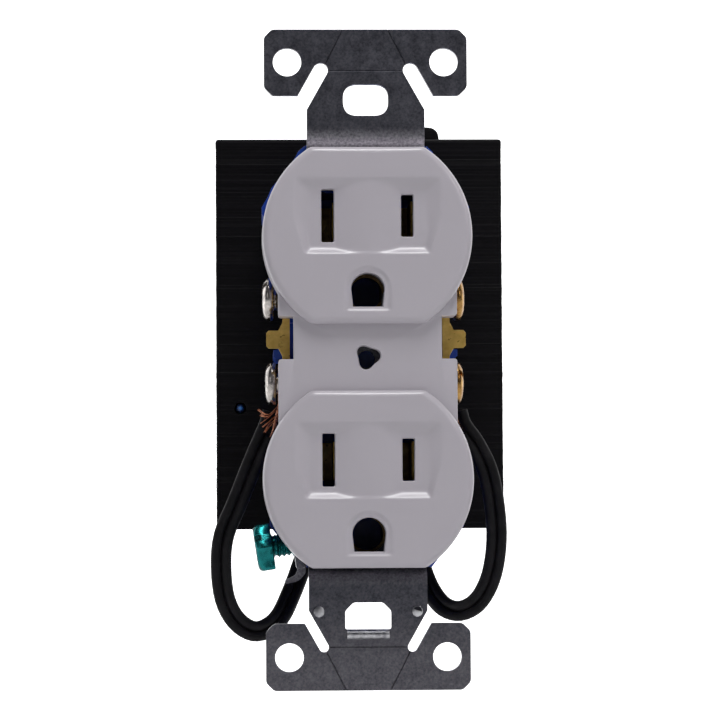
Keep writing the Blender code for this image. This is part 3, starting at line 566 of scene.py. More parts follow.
def smooth_points(route, samples=ROUTE_SAMPLES):
    """Points on the Catmull-Rom curve through a route."""
    pts = [Vector(p) for p in route]
    pts = [2 * pts[0] - pts[1]] + pts + [2 * pts[-1] - pts[-2]]
    out = []
    for a, b, c, d in zip(pts, pts[1:], pts[2:], pts[3:]):
        for i in range(samples):
            t = i / samples
            out.append(0.5 * ((2 * b) + (c - a) * t + (2 * a - 5 * b + 4 * c - d) * t * t
                              + (3 * b - a - 3 * c + d) * t ** 3))
    return out + [pts[-2]]


def beside(points, offset):
    """The line at a sideways offset from a lead's middle line, in the plane of its loop."""
    out = []
    for i, p in enumerate(points):
        along = points[min(i + 1, len(points) - 1)] - points[max(i - 1, 0)]
        across = Vector((along.z, 0.0, -along.x)).normalized()
        out.append(p + across * offset)
    return out


def make_lead(name, points, node, look):
    """One insulated conductor of a lead, as a round cord along its line."""
    curve = bpy.data.curves.new(name, "CURVE")
    curve.dimensions = "3D"
    curve.bevel_depth = CONDUCTOR_R
    curve.bevel_resolution = 6
    curve.use_fill_caps = True
    spline = curve.splines.new("POLY")
    spline.points.add(len(points) - 1)
    for point, p in zip(spline.points, points):
        point.co = (*p, 1.0)
    spline.use_smooth = True
    curve.materials.append(look)
    lead = linked(name, curve)
    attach(lead, BODY)
    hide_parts(node)


def round_strand(bm, points, radius, sides=7):
    """One drawn strand as a closed tube, its frame carried along the line."""
    side = Vector((0.3, 1.0, 0.2)).normalized()
    rings = []
    for i, p in enumerate(points):
        along = (points[min(i + 1, len(points) - 1)] - points[max(i - 1, 0)]).normalized()
        side = (side - along * side.dot(along)).normalized()
        up = along.cross(side)
        rings.append([p + (side * math.cos(a) + up * math.sin(a)) * radius
                      for a in [2 * math.pi * k / sides for k in range(sides)]])
    loft(bm, rings)


def make_strands(kind, side, start, look, strays):
    """The bared strands: a loose twist from the conductor's end round the screw's shank, and strays."""
    rng = random.Random(7 if side < 0 else 11)
    screw_lo, screw_hi = corners(f"{kind}_screw_lower")
    cy, cz = (screw_lo.y + screw_hi.y) / 2, (screw_lo.z + screw_hi.z) / 2
    bm = bmesh.new()
    for n in range(STRAND_COUNT):
        turn = 2 * math.pi * n / STRAND_COUNT
        spread = 0.28 + 0.3 * rng.random()
        away = Vector((math.cos(turn) * spread * 0.6, math.sin(turn) * spread, math.cos(turn) * spread))
        rise = rng.uniform(-0.25, 0.25)
        reach = rng.uniform(60, 190)
        path = [start / MM + away * 0.55, start / MM + away + Vector((-side * 0.7, 0.15, 1.5)),
                Vector((side * 14.3, 9.9, -8.3)) + away]
        for i in range(8):
            a = math.radians(-38 + reach * i / 7)
            r = HOOK_R + 0.42 * math.sin(turn) * 0.6
            path.append(Vector((side * (HOOK_X + 0.22 * math.cos(turn)), cy + r * math.cos(a),
                                cz + r * math.sin(a) + rise * 0.2)))
        round_strand(bm, smooth_points(path, 4), STRAND_R)
    for points in strays:
        bend = [Vector(p) for p in points]
        for _ in range(2):
            shift = Vector((rng.uniform(-0.2, 0.2), rng.uniform(-0.4, 0.4), rng.uniform(-0.2, 0.2)))
            path = [p + shift * (i / len(bend)) for i, p in enumerate(bend)]
            round_strand(bm, smooth_points(path, 5), STRAY_R)
    strands = finished(bm, f"{kind}_copper_strands", sharp=60)
    paint(strands, look)
    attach(strands, BODY)
    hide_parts(f"{kind}_wire_end")
    return strands


# strands that missed the left lower screw, in millimetres from the twist outward
NEUTRAL_STRAYS = [
    [(-13.4, 7.8, -7.0), (-14.4, 7.4, -7.5), (-15.0, 7.2, -8.2), (-15.8, 7.1, -8.8), (-16.7, 7.1, -8.6),
     (-17.5, 7.2, -8.0)],
    [(-13.4, 7.8, -7.2), (-14.4, 7.4, -7.9), (-15.1, 7.2, -8.5), (-16.0, 7.1, -9.0), (-16.7, 7.1, -8.9),
     (-17.1, 7.2, -8.7)],
    [(-13.3, 7.9, -7.3), (-14.5, 7.4, -8.0), (-15.5, 7.2, -8.9), (-16.5, 7.1, -9.7), (-17.2, 7.2, -10.2)],
    [(-13.2, 7.9, -7.7), (-14.4, 7.4, -8.7), (-15.0, 7.2, -9.2), (-16.0, 7.1, -10.1), (-16.9, 7.2, -10.8)],
    [(-13.2, 8.0, -8.2), (-14.4, 7.4, -9.2), (-15.0, 7.2, -9.8), (-15.8, 7.1, -10.5), (-16.5, 7.2, -11.7)],
    [(-13.2, 8.0, -8.3), (-14.3, 7.5, -9.5), (-15.0, 7.3, -10.1), (-15.7, 7.2, -10.9), (-16.2, 7.3, -11.6)],
]


def make_leads():
    """Both leads: two conductors each, the outer one starting higher, behind its screw's head."""
    vinyl = moulded("black_vinyl", (0.004, 0.004, 0.005), (0.010, 0.009, 0.011), 0.50, 0.64, 0.14, 300, 0.02)
    copper = metal("copper", (0.42, 0.13, 0.07), (0.86, 0.40, 0.24), 0.22, 0.4, 900)
    for kind, route, side in (("neutral", NEUTRAL_ROUTE, -1), ("hot", HOT_ROUTE, 1)):
        middle = smooth_points(route)
        half = CONDUCTOR_PITCH / 2
        outer = beside(middle, -side * half)
        inner = beside(middle, side * half)
        lift = [Vector((side * 0.0159, 0.0084, -0.0081)), Vector((side * 0.0165, 0.0086, -0.0101))]
        outer = smooth_points(lift + outer[2:6:2], 3)[:-1] + outer[6:]
        strands = make_strands(kind, side, inner[0], copper, NEUTRAL_STRAYS if side < 0 else [])
        make_lead(f"{kind}_lead_outer_insulation", outer, f"{kind}_lead_outer", vinyl)
        make_lead(f"{kind}_lead_inner_insulation", inner, f"{kind}_lead_inner", vinyl)


# ---- front cover

FACE_RAYS = 240
FACE_STEP = 0.26
SCOOP_DEPTH = 0.95
SCOOP_TOP = 9.1
SCOOP_LEDGE = -3.1
HUMP_DEPTH = 0.18
HUMP_HALF_W = 5.1
SEAT_R = 3.75
SEAT_DEPTH = 0.30
SEAT_LEDGE = GROUND_DZ - 3.45
SIDE_DRAFT = 0.12
NEUTRAL_SLOT = (2.0, 8.45)
HOT_SLOT = (1.95, 6.75)
GROUND_FOOT = 2.75
SLOT_LEAD_IN = 1.3             # how far a slot's cutter starts in front of the surface
CAVITY_Y = FACE_Y + 2.7
WALL = 1.8


def face_reach(angle):
    """Distance from a face's centre to its outline: a circle cut off flat above and below."""
    flat = FACE_HALF_FLAT / max(abs(math.sin(angle)), 1e-6)
    return min(soft_min((FACE_R + 0.02, flat + 0.02), 0.10), FACE_R, flat)


def recess_depth(x, u):
    """How far a face's front lies behind its rim plane, at x across and u above its centre."""
    hump = HUMP_DEPTH + (SCOOP_DEPTH - HUMP_DEPTH) * min(abs(x) / HUMP_HALF_W, 1.0) ** 1.9
    edge = 10.15 + 1.55 * smoothstep(-3.2, 3.5, u)
    top = (SCOOP_TOP - u) * 0.52
    side = (edge - abs(x)) * (0.95 - 0.55 * smoothstep(-2.5, 4.0, u))
    ledge = (u - SCOOP_LEDGE) * 0.90
    scoop = soft_min((soft_min((hump, top, side), 0.09), ledge), 0.14)
    # the shallow seat round the grounding hole, with a crisp lower ledge
    arch = u - GROUND_DZ
    away = math.hypot(x, arch) if arch > 0 else abs(x)
    seat = min((SEAT_R - away) * 0.60, SEAT_DEPTH)
    seat = soft_min((seat, (u - SEAT_LEDGE) * 0.8), 0.03)
    return max(scoop, 0.0) + max(seat, 0.0)


def face_solid(name, zc):
    """One raised face: rounded rim, sculpted front, side wall and the hollow behind."""
    angles = [2 * math.pi * (i + 0.5) / FACE_RAYS for i in range(FACE_RAYS)]

    def ring(inset, y):
        points = []
        for a in angles:
            r = face_reach(a) - inset
            points.append((r * math.cos(a), y, zc + r * math.sin(a)))
        return points

    rings = [ring(FACE_HALF_FLAT - 1.0, CAVITY_Y), ring(WALL, CAVITY_Y), ring(WALL - 0.2, BACK_Y),
             ring(0.0, BACK_Y), ring(0.06, FACE_Y + 4.0), ring(0.1, FACE_Y + RIM_R + 0.4)]
    for i in range(9):
        a = math.pi / 2 * i / 8
        rings.append(ring(SIDE_DRAFT + RIM_R * (1 - math.cos(a)), FACE_Y + RIM_R * (1 - math.sin(a))))
    steps = int((FACE_R - RIM_R) / FACE_STEP)
    for k in range(1, steps):
        share = 1 - k / steps
        points = []
        for a in angles:
            r = (face_reach(a) - SIDE_DRAFT - RIM_R) * share
            x, u = r * math.cos(a), r * math.sin(a)
            points.append((x, FACE_Y + recess_depth(x, u), zc + u))
        rings.append(points)
    bm = bmesh.new()
    loft(bm, rings)
    return finished(bm, name)


def slot_cutter(name, x, z, width, height, surface):
    """A blade slot right through the cover, with a small chamfer at its mouth."""
    outline = rounded_outline([(x - width / 2, z - height / 2), (x + width / 2, z - height / 2),
                               (x + width / 2, z + height / 2), (x - width / 2, z + height / 2)], 0.3)
    return prism(name, outline, surface - SLOT_LEAD_IN, BACK_Y + 1, ((surface, 0.13), (surface + 0.16, 0.0)))


def ground_cutter(name, z, surface):
    """A grounding hole: round above and square below."""
    foot = [(-GROUND_R, z - GROUND_FOOT), (GROUND_R, z - GROUND_FOOT)]
    outline = arc(0, z, GROUND_R, 0, 180, 24) + rounded_outline(foot, 0.3, 1)
    return prism(name, outline, surface - SLOT_LEAD_IN, BACK_Y + 1, ((surface, 0.14), (surface + 0.18, 0.0)))


def cover_base():
    """The plate between and behind the faces, notched on both sides for the break-off tabs."""
    low, high = NOTCH_Z
    right = [(BASE_HALF_W, BASE_HALF_H), (BASE_HALF_W, high), (NOTCH_HALF_W, high), (NOTCH_HALF_W, low),
             (BASE_HALF_W, low), (BASE_HALF_W, -BASE_HALF_H)]
    points = right + [(-x, z) for x, z in reversed(right)]
    radii = [0.5 if abs(x) == BASE_HALF_W else 0.12 for x, z in points]
    base = prism("base", rounded_outline(points, radii, 4), BRIDGE_Y, BACK_Y - 0.06)
    round_edges(base, 0.14, 2, 60)
    apply_modifiers(base)
    return base


def make_cover():
    """The white moulding: two faces on a base, hollowed behind, with its slots and centre hole."""
    cover = face_solid("front_cover_moulding", FACE_Z)
    combine(cover, "UNION", [cover_base(), face_solid("lower_face", -FACE_Z)])
    cutters = [block("bridge_hollow", (-9.9, 9.9), (BRIDGE_Y + 2.2, BACK_Y + 1), (-9.0, 9.0))]
    floor_y = FACE_Y + SCOOP_DEPTH
    for s in (1, -1):
        zc = s * FACE_Z
        cutters.append(slot_cutter(f"neutral_{s}", -BLADE_X, zc + BLADE_DZ, *NEUTRAL_SLOT, floor_y))
        cutters.append(slot_cutter(f"hot_{s}", BLADE_X, zc + BLADE_DZ, *HOT_SLOT, floor_y))
        cutters.append(ground_cutter(f"ground_{s}", zc + GROUND_DZ, FACE_Y + 0.34))
        hollow_z = (zc - 9.0, zc + 9.0)
        cutters.append(block(f"hollow_{s}", (-12.6, 12.6), (CAVITY_Y + 0.07, BACK_Y + 1), hollow_z))
        cutters.append(block(f"neck_{s}", (-9.8, 9.8), (0.0, BACK_Y + 1), sorted((s * 30.0, s * 35.0))))
    lobes = []
    for i in range(60):
        t = 2 * math.pi * i / 60
        r = 1.78 + 0.28 * math.cos(3 * (t - math.radians(12)))
        lobes.append((r * math.cos(t), r * math.sin(t)))
    cutters.append(prism("centre_hole", lobes, BRIDGE_Y - 1, BRIDGE_Y + 4,
                         ((BRIDGE_Y, 0.16), (BRIDGE_Y + 0.22, 0.0))))
    combine(cover, "DIFFERENCE", cutters)
    soften(cover, 32)
    paint(cover, white_plastic())
    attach(cover, BODY)
    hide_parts("front_cover")


# ---- mounting strap

EAR_CHAMFER = 1.3
EAR_HOLE_X, EAR_HOLE_Z, EAR_HOLE_R = 12.65, 47.9, 2.3
# name, the nose's place, half the width, and whether the nose points up or down
BREAK_SLOTS = (("top", (7.25, 46.6), 1.2, 1), ("bottom", (7.1, -46.3), 0.78, -1))
BREAK_SLOPE = 0.565            # sideways for each millimetre up or down
UPPER_MOUNT = [(-3.65, 39.2), (3.65, 39.2), (3.65, 44.3), (-3.65, 44.3)]
LOWER_MOUNT = [(-3.7, -43.45), (3.7, -43.45), (3.7, -40.5), (2.35, -39.15), (-2.35, -39.15), (-3.7, -40.5)]
TOE = [(-9.9, -32.6), (-9.9, -34.5), (-11.1, -35.8), (-13.2, -36.3), (-13.3, -35.6), (-11.6, -34.9),
       (-11.2, -33.9), (-11.2, -32.6)]
LIP_Z = (-45.1, -43.4)
PIP_X, PIP_Z, PIP_R = 7.87, -40.58, 0.85
# left of this, and between the ears, the strap is only its ground terminal
TERMINAL_X, TERMINAL_Z = -10.4, 38.0
EDGE_BEVEL = 0.17
GROOVE_DEPTH = 0.15


def strap_middle_y(z):
    """How far back the middle of the sheet lies at a height: its span sits behind its ears."""
    return STRAP_Y + smoothstep(0.0, 1.0, (BEND_Z[0] - abs(z)) / (BEND_Z[0] - BEND_Z[1])) * SPAN_Y


def strap_outline():
    """Ears, necks and a middle span that widens round each grounding pin."""
    c = EAR_CHAMFER
    right = [(EAR_HALF_W - c, STRAP_HALF_H), (EAR_HALF_W, STRAP_HALF_H - c), (EAR_HALF_W, EAR_INNER_Z + c),
             (EAR_HALF_W - c, EAR_INNER_Z), (NECK_HALF_W, EAR_INNER_Z), (NECK_HALF_W, BEND_Z[1]),
             (4.1, BEND_Z[1] - 2.2), (4.1, 15.7), (6.0, 14.2), (6.0, 7.2), (4.1, 5.7), (4.1, -23.2),
             (6.0, -24.7), (6.0, 0.6 - BEND_Z[1]), (NECK_HALF_W, -BEND_Z[1]), (NECK_HALF_W, -EAR_INNER_Z),
             (EAR_HALF_W - c, -EAR_INNER_Z), (EAR_HALF_W, -EAR_INNER_Z - c), (EAR_HALF_W, c - STRAP_HALF_H),
             (EAR_HALF_W - c, -STRAP_HALF_H)]
    return right + [(-x, z) for x, z in reversed(right)]


def bent_sheet(name):
    """The strap's side profile swept across its width, given the sheet's thickness."""
    count = 16
    step = [BEND_Z[0] + (BEND_Z[1] - BEND_Z[0]) * i / count for i in range(count + 1)]
    heights = [STRAP_HALF_H + 1] + step + [-z for z in reversed(step)] + [-STRAP_HALF_H - 1]
    half = EAR_HALF_W + 2
    bm = bmesh.new()
    rings = []
    for z in heights:
        ahead = strap_middle_y(z + 0.05) - strap_middle_y(z - 0.05)
        normal = Vector((0.0, 0.1, -ahead)).normalized() * STRAP_T / 2
        mid = Vector((0.0, strap_middle_y(z), z))
        rings.append([mid + normal + Vector((s * half, 0, 0)) for s in (-1, 1)]
                     + [mid - normal + Vector((s * half, 0, 0)) for s in (1, -1)])
    loft(bm, rings)
    return finished(bm, name)


def lean(*pieces):
    """Turn parts of the ground terminal about the middle of its threaded hole."""
    hole = Matrix.Translation(Vector((sum(FLANGE_X) / 2, *GROUND_SCREW_YZ)) * MM)
    for piece in pieces:
        piece.data.transform(hole @ Matrix.Rotation(GROUND_LEAN, 4, "Y") @ hole.inverted())


def break_slot(name, end, half_w, side, rise):
    """A break-off slot: it starts outside the neck's corner and ends in a round nose beside it."""
    angle = math.atan2(rise, -side * BREAK_SLOPE)
    shape = arc(0, 0, half_w, -90, 90, 14) + [(-12, half_w), (-12, -half_w)]
    turned = [(end[0] + x * math.cos(angle) - z * math.sin(angle),
               end[1] + x * math.sin(angle) + z * math.cos(angle)) for x, z in shape]
    return prism(name, turned, -STRAP_T - 1, 1)


def groove(name, a, b, depth=GROOVE_DEPTH):
    """A V-groove pressed along a line on the strap's front."""
    bm = bmesh.new()
    middle = Vector(((a[0] + b[0]) / 2, -STRAP_T, (a[1] + b[1]) / 2)) * MM
    turn = Matrix.Rotation(math.atan2(b[0] - a[0], b[1] - a[1]), 4, "Y")
    bmesh.ops.create_cone(bm, cap_ends=True, segments=4, radius1=depth * MM, radius2=depth * MM,
                          depth=math.dist(a, b) * MM, matrix=Matrix.Translation(middle) @ turn)
    return finished(bm, name)


def bump_on(name, centre, radius, height):
    """A round pimple pressed out of the strap's front."""
    bm = bmesh.new()
    where = Matrix.Translation(Vector(centre) * MM) @ Matrix.Diagonal((radius, height, radius, 1.0))
    bmesh.ops.create_uvsphere(bm, u_segments=28, v_segments=14, radius=MM, matrix=where)
    return finished(bm, name)


def gets_edge_highlight(face):
    """True on the strap's sheared edges, lower lip and pips, which get the brighter edge material as a
    painted highlight.
    """
    tilt = abs(face.normal.y)
    x, y, z = face.center / MM
    from_pip = math.hypot(abs(x) - PIP_X, z - PIP_Z)
    on_lip = abs(x) < 3.5 and LIP_Z[0] < z < LIP_Z[1] and y < 0
    if on_lip or (from_pip < PIP_R and y < -STRAP_T - 0.02):
        return True
    on_terminal = x < TERMINAL_X and abs(z) < TERMINAL_Z
    in_bend = abs(face.normal.x) < 0.2 and BEND_Z[1] - 0.5 < abs(z) < BEND_Z[0] + 0.5 and tilt > 0.35
    return not (tilt > 0.95 or on_terminal or from_pip < 1.3 or in_bend)


def strap_openings():
    """Cutters for the break-off slots and for every hole through the sheet."""
    holes = []
    for side in (-1, 1):
        for name, (x, z), r, rise in BREAK_SLOTS:
            holes.append(break_slot(f"{name}_{side}", (side * x, z), r, side, rise))
        for z in (EAR_HOLE_Z, -EAR_HOLE_Z):
            holes.append(rod(f"ear_{side}_{z:.0f}", (side * EAR_HOLE_X, 0, z), "y", EAR_HOLE_R, 6, 56))
    holes.append(prism("upper_mount", rounded_outline(UPPER_MOUNT, 2.3, 10), -3, 2))
    holes.append(prism("lower_mount", rounded_outline(LOWER_MOUNT, 0.35, 4), -3, 2))
    holes.append(rod("plate_screw", (0, 2, 0), "y", 1.4, 6))
    for s in (1, -1):
        zc = s * FACE_Z
        holes.append(rod(f"pin_{s}", (0, 2, zc + GROUND_DZ), "y", 3.1, 6))
        holes.append(rod(f"body_screw_{s}", (0, 2, zc + BLADE_DZ), "y", 1.8, 6))
        holes.append(rod(f"rivet_{s}", (0, 2, zc + GROUND_DZ + 5.4), "y", 1.3, 6))
    return holes


def strap_grooves():
    """Cutters for the lines pressed where the ears snap off."""
    grooves = [groove("line_top", (-6.8, 46.5), (6.8, 46.5)),
               groove("line_bottom", (-7.0, -46.3), (7.0, -46.3))]
    for side in (-1, 1):
        grooves.append(groove(f"edge_line_{side}", (side * 6.55, 45.6), (side * 9.0, 41.3), 0.07))
        grooves.append(groove(f"score_top_{side}", (side * 6.8, 47.0), (side * 3.2, 54.0)))
        grooves.append(groove(f"score_bottom_{side}", (side * 7.0, -46.4), (side * 3.1, -54.0)))
    return grooves


def make_strap():
    """The bent steel strap with its ground terminal, lip and pips."""
    strap = bent_sheet("mounting_strap_sheet")
    outline = rounded_outline(strap_outline(), 0.45, 4)
    combine(strap, "INTERSECT", [prism("strap_shape", outline, -4, 6)])
    combine(strap, "DIFFERENCE", strap_openings())
    flange = block("flange", FLANGE_X, (SPAN_Y - STRAP_T, 12.6), (-33.8, -26.4), 0.2)
    arm = block("arm", (-11.4, -5.5), (SPAN_Y - STRAP_T + 0.02, SPAN_Y - 0.02), (-32.2, -28.0))
    toe = prism("toe", rounded_outline(TOE, 0.5, 4), 3.2, 4.8)
    lip = rod("lip", (0, -STRAP_T + 0.15, -44.25), "x", 0.78, 6.8, 32)
    pips = [bump_on("pip_left", (-7.9, -STRAP_T, -40.6), 0.95, 0.30),
            bump_on("pip_right", (7.84, -STRAP_T, -40.56), 1.0, 0.28)]
    tapped = rod("tapped", (sum(FLANGE_X) / 2, *GROUND_SCREW_YZ), "x", 2.3, 4)
    lean(flange, tapped)
    combine(strap, "UNION", [arm, flange, toe, lip, *pips])
    opening = prism("pip_opening", arc(7.95, -40.45, 0.66, -18, 162, 12), -STRAP_T - 1, -0.2)
    combine(strap, "DIFFERENCE", [opening, tapped])
    paint(strap, galvanised_steel(), steel_edge())
    round_edges(strap, EDGE_BEVEL)
    apply_modifiers(strap)
    # the bevels, lip and pips get the second material, a painted highlight
    for face in strap.data.polygons:
        face.material_index = int(gets_edge_highlight(face))
    combine(strap, "DIFFERENCE", strap_grooves())
    soften(strap, 40)
    flat = strap.modifiers.new("flat_normals", "WEIGHTED_NORMAL")
    flat.keep_sharp = True
    apply_modifiers(strap)
    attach(strap, BODY)
    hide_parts("mounting_strap")


# ---- screws

SCREW_SIDES = 64
THREAD_PITCH = 0.79
RING_STEP = 0.06
HEAD_H = 1.8
SHANK_R = 1.72
TIP_R = 0.9
DRIVE_W, DRIVE_DEPTH = 0.95, 0.95
GROUND_SCREW_X = (15.3, 8.9, 18.1)     # under its head, its tip and its top
GROUND_HALF_FLATS = 3.75


def screw_rings(profile, thread_from, thread_to, root, depth):
    """Rings of (height, radius function) for a threaded shank followed by a turned head."""
    rings = []
    steps = int((thread_to - thread_from) / RING_STEP)
    for i in range(steps + 1):
        h = thread_from + (thread_to - thread_from) * i / steps
        fade = min(smoothstep(0, 1.0, h - thread_from), smoothstep(0, 0.6, thread_to - h))

        def radius(a, h=h, fade=fade):
            phase = (h / THREAD_PITCH - a / (2 * math.pi)) % 1.0
            return root + depth * fade * (1 - abs(2 * phase - 1))
        rings.append((h, radius))
    rings += [(h, (lambda a, r=r: r)) for r, h in profile]
    return rings


def hex_radius(flat):
    """Radius of a hexagon with corners at front and back, given half its width across flats."""
    def radius(a):
        return flat / math.cos(a % (math.pi / 3) - math.pi / 6)
    return radius


def screw_body(name, node, side, at, rings, look, cutters):
    """Skin the rings round a screw's own axis, cut its drive and put it on its body."""
    y, z = at
    skin = []
    for h, radius in rings:
        points = []
        for k in range(SCREW_SIDES):
            a = 2 * math.pi * k / SCREW_SIDES
            r = radius(a)
            points.append((side * h, y + r * math.cos(a), z + r * math.sin(a)))
        skin.append(points)
    bm = bmesh.new()
    loft(bm, skin)
    screw = finished(bm, name)
    combine(screw, "DIFFERENCE", cutters(y, z))
    round_edges(screw, 0.06, 1, 50)
    apply_modifiers(screw)
    paint(screw, look)
    soften(screw, 38)
    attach(screw, node)
    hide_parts(node)
    return screw


def turned_block(name, x, y, z, wide, tall, angle):
    """A bar through a screw's axis, turned about it: one arm of a drive recess."""
    bar = block(name, x, (-wide / 2, wide / 2), (-tall / 2, tall / 2), 0.08, 1)
    turn = Matrix.Translation(Vector((0, y, z)) * MM) @ Matrix.Rotation(math.radians(angle), 4, "X")
    bar.data.transform(turn)
    return bar


def make_terminal_screw(node, look, angle):
    """A domed terminal screw with a slot and a square centre recess, turned to an angle in degrees."""
    low, high = corners(node)
    side = -1 if low.x < 0 else 1
    top = max(abs(low.x), abs(high.x))
    tip = min(abs(low.x), abs(high.x))
    under = top - HEAD_H
    r = (high.z - low.z) / 2
    profile = [(SHANK_R, under - 0.15), (1.9, under), (r - 0.25, under), (r - 0.05, under + 0.1),
               (r, under + 0.35), (r, under + 0.8), (r - 0.08, under + 1.05), (r - 0.3, under + 1.28),
               (r - 0.75, under + 1.55), (r - 1.4, under + 1.72), (r - 2.2, top), (0.3, top)]
    rings = screw_rings(profile, tip, under - 0.3, SHANK_R, 0.33)
    rings.insert(0, (tip, lambda a: TIP_R))

    def cutters(y, z):
        reach = sorted((side * (top - DRIVE_DEPTH), side * (top + 1)))
        return [turned_block("slot", reach, y, z, DRIVE_W, 2 * r + 1, angle),
                turned_block("cross", reach, y, z, DRIVE_W, 2 * r + 1, angle),
                rod("centre", (side * (top - 0.3), y, z), "x", 1.05, 2.2, 4)]
    at = (low.y + high.y) / 2, (low.z + high.z) / 2
    screw_body(node + "_finish", node, side, at, rings, look, cutters)


def make_ground_screw():
    """The green hexagon screw: built along X, then leant with its terminal."""
    under, tip, top = GROUND_SCREW_X
    hexagon = hex_radius(GROUND_HALF_FLATS)
    rings = screw_rings([(SHANK_R, under - 0.15), (2.0, under - 0.02)], tip, under - 0.3, 1.62, 0.40)
    rings.insert(0, (tip, lambda a: TIP_R))
    for h, inset, cap in ((under, 0.12, 4.12), (under + 0.15, 0.0, 4.27), (top - 0.75, 0.0, 4.32),
                          (top - 0.45, 0.05, 3.98), (top - 0.2, 0.2, 3.65), (top, 0.45, 3.2),
                          (top, 0.0, 0.3)):
        rings.append((h, lambda a, inset=inset, cap=cap: min(hexagon(a) - inset, cap)))

    def cutters(y, z):
        return [turned_block("slot", (-top - 1, -top + 1.25), y, z, 10.0, 1.1, -28)]
    teal = metal("green_screw", (0.006, 0.13, 0.135), (0.014, 0.25, 0.25), 0.18, 0.28, 600, 0.012, 0.85)
    screw = screw_body("ground_screw_finish", "ground_screw", -1, GROUND_SCREW_YZ, rings, teal,
                       cutters)
    lean(screw)


def make_screws():
    silver = metal("nickel_plate", (0.26, 0.24, 0.225), (0.74, 0.69, 0.65), 0.12, 0.28, 700, 0.015)
    brass = metal("brass_screw", (0.22, 0.105, 0.028), (0.50, 0.30, 0.10), 0.16, 0.34, 700, 0.015)
    make_terminal_screw("neutral_screw_upper", silver, 42)
    make_terminal_screw("neutral_screw_lower", silver, 27)
    make_terminal_screw("hot_screw_upper", brass, -16)
    make_terminal_screw("hot_screw_lower", brass, 60)
    make_ground_screw()


# ---- printed module

LAYER = 0.25
TOP_ROUND = 0.5
CASE_WALL = 2.0
LUG_X = (-0.6, 13.4)
LUG_DEPTH = 4.0
LEAD_HOLE_X, LEAD_HOLE_Y = (-9.2, 9.0), 29.0
LED_HOLE_R = 1.0


def printed_box(name, x0, x1, y0, y1, z0, z1, seed):
    """A box built up in printed layers: each one bulges a little and is laid slightly off the last."""
    rng = random.Random(seed)
    rings = []
    count = round((z1 - z0) / LAYER)
    drift = 0.0
    for i in range(count):
        low = z0 + (z1 - z0) * i / count
        high = z0 + (z1 - z0) * (i + 1) / count
        drift = 0.82 * drift + rng.uniform(-0.016, 0.016)
        jog = drift + rng.uniform(-0.012, 0.012)
        for z, inset in ((low + 0.02, 0.045), ((low + high) / 2, 0.0), (high - 0.02, 0.045)):
            near_top = max(0.0, z - (z1 - TOP_ROUND))
            inset += 0.05 - jog + TOP_ROUND - math.sqrt(max(TOP_ROUND ** 2 - near_top ** 2, 0.0))
            left, right, front, back = x0 + inset, x1 - inset, y0 + inset, y1 - inset
            flat = [(left, front), (right, front), (right, back), (left, back)]
            rings.append([(x, y, z) for x, y in rounded_outline(flat, 0.45, 3)])
    bm = bmesh.new()
    loft(bm, rings)
    return finished(bm, name)


def make_module():
    """The printed box behind the outlet: its front plate, and its case with the lug on top."""
    black = printed_black()
    x0, x1, z0, z1 = LID_LO.x, LID_HI.x, LID_LO.z, LID_HI.z
    lid = printed_box("module_lid_print", x0, x1, LID_LO.y, LID_HI.y, z0, z1, 3)
    led_lo, led_hi = corners("status_led")
    led_at = (led_lo + led_hi) / 2
    combine(lid, "DIFFERENCE", [rod("led_hole", (led_at.x, LID_LO.y, led_at.z), "y", LED_HOLE_R, 8, 32)])
    case = printed_box("module_case_print", x0, x1, CASE_LO.y, CASE_HI.y, z0, z1, 5)
    left, right = LUG_X
    rise = CASE_HI.z - z1
    lug_corners = [(left, z1 - rise), (right, z1 - rise), (right, z1 + rise), (left, z1 + rise)]
    lug = prism("case_lug", rounded_outline(lug_corners, rise - 0.02, 10), CASE_LO.y, CASE_LO.y + LUG_DEPTH)
    round_edges(lug, 0.4, 3)
    apply_modifiers(lug)
    combine(case, "UNION", [lug])
    wall = CASE_WALL
    cuts = [block("cavity", (x0 + wall, x1 - wall), (CASE_LO.y - 1, CASE_HI.y - wall),
                  (z0 + wall, z1 - wall))]
    for lead_x in LEAD_HOLE_X:
        hole = rod(f"lead_hole_{lead_x}", (0, 0, 0), "z", 1.0, 6, 32)
        hole.data.transform(Matrix.Translation(Vector((lead_x, LEAD_HOLE_Y, z0 + 1)) * MM)
                            @ Matrix.Diagonal((2.7, 1.8, 1.0, 1.0)))
        cuts.append(hole)
    for i in range(1, 5):
        low, high = corners(f"module_screw_{i}")
        x, z = (low.x + high.x) / 2, (low.z + high.z) / 2
        cuts.append(rod(f"seat_{i}", (x, CASE_HI.y, z), "y", 2.6, 3.0, 40))
        cuts.append(rod(f"bore_{i}", (x, CASE_HI.y, z), "y", 1.5, 6.0, 32))
    combine(case, "DIFFERENCE", cuts)
    for piece, node in ((lid, "module_lid"), (case, "module_case")):
        paint(piece, black)
        soften(piece, 50)
        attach(piece, BODY)
        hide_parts(node)


# ---- CAD nodes that keep their shape

WELD_REACH = 1e-6


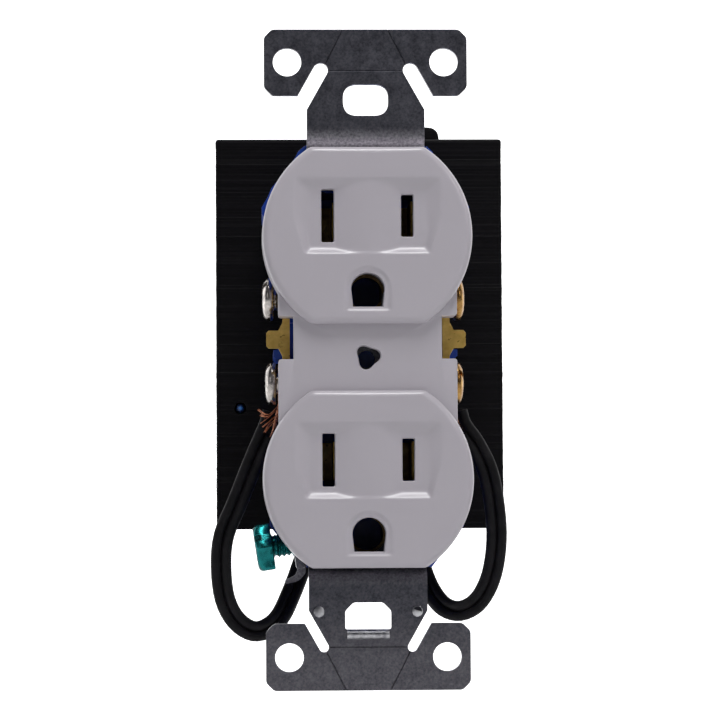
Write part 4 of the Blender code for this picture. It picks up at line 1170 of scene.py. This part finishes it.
def dress(nodes, look, edge=0.0):
    """Give CAD nodes a material and, where asked, small rounded edges."""
    for name in nodes:
        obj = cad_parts[name]
        paint(obj, look)
        if edge:
            weld = obj.modifiers.new("weld", "WELD")
            weld.merge_threshold = WELD_REACH
            round_edges(obj, edge, 2, 40)
            obj.modifiers["edges"].harden_normals = True


def dress_frame():
    """Materials for the CAD nodes whose own shape is right."""
    blue = moulded("blue_plastic", (0.005, 0.035, 0.26), (0.008, 0.050, 0.33), 0.30, 0.38, 0.4, 260, 0.01)
    brass = contact_brass()
    # painted shade: the grounding contacts are coloured near black, for the dark inside of the grounding
    # holes
    ground_brass_painted_shade = metal("ground_brass_painted_shade", (0.06, 0.036, 0.012), (0.15, 0.095, 0.03), 0.26, 0.44, 520, 0.015,
                         0.7)
    zinc = metal("zinc_fastener", (0.32, 0.32, 0.34), (0.62, 0.62, 0.65), 0.22, 0.4, 600)
    foam = moulded("foam_pad", (0.02, 0.02, 0.02), (0.07, 0.07, 0.07), 0.8, 0.98, 0.3, 900, 0.2)
    board = moulded("circuit_board", (0.008, 0.10, 0.04), (0.02, 0.22, 0.09), 0.3, 0.5, 0.5, 500, 0.03)
    block_look = moulded("block_plastic", (0.01, 0.01, 0.01), (0.03, 0.03, 0.03), 0.35, 0.5, 0.4, 300, 0.02)
    led_lo, led_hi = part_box("status_led")
    lens = lit_lens(((led_lo.x + led_hi.x) / 2, led_lo.y, (led_lo.z + led_hi.z) / 2))
    dress(["back_body"], blue, 0.3)
    dress(["neutral_contact_strip", "hot_contact_strip"], brass, 0.14)
    dress(["ground_contact_upper", "ground_contact_lower"], ground_brass_painted_shade, 0.1)
    dress(["ground_rivet_upper", "ground_rivet_lower", "assembly_screw_upper", "assembly_screw_lower"], zinc)
    dress([f"module_screw_{i}" for i in range(1, 5)], zinc)
    dress(["mounting_pad"], foam)
    dress(["circuit_board"], board)
    dress(["terminal_block"], block_look, 0.3)
    dress(["status_led"], lens)


make_camera()
make_leads()
make_lights()
make_stage()
make_cover()
make_strap()
make_screws()
make_module()
dress_frame()
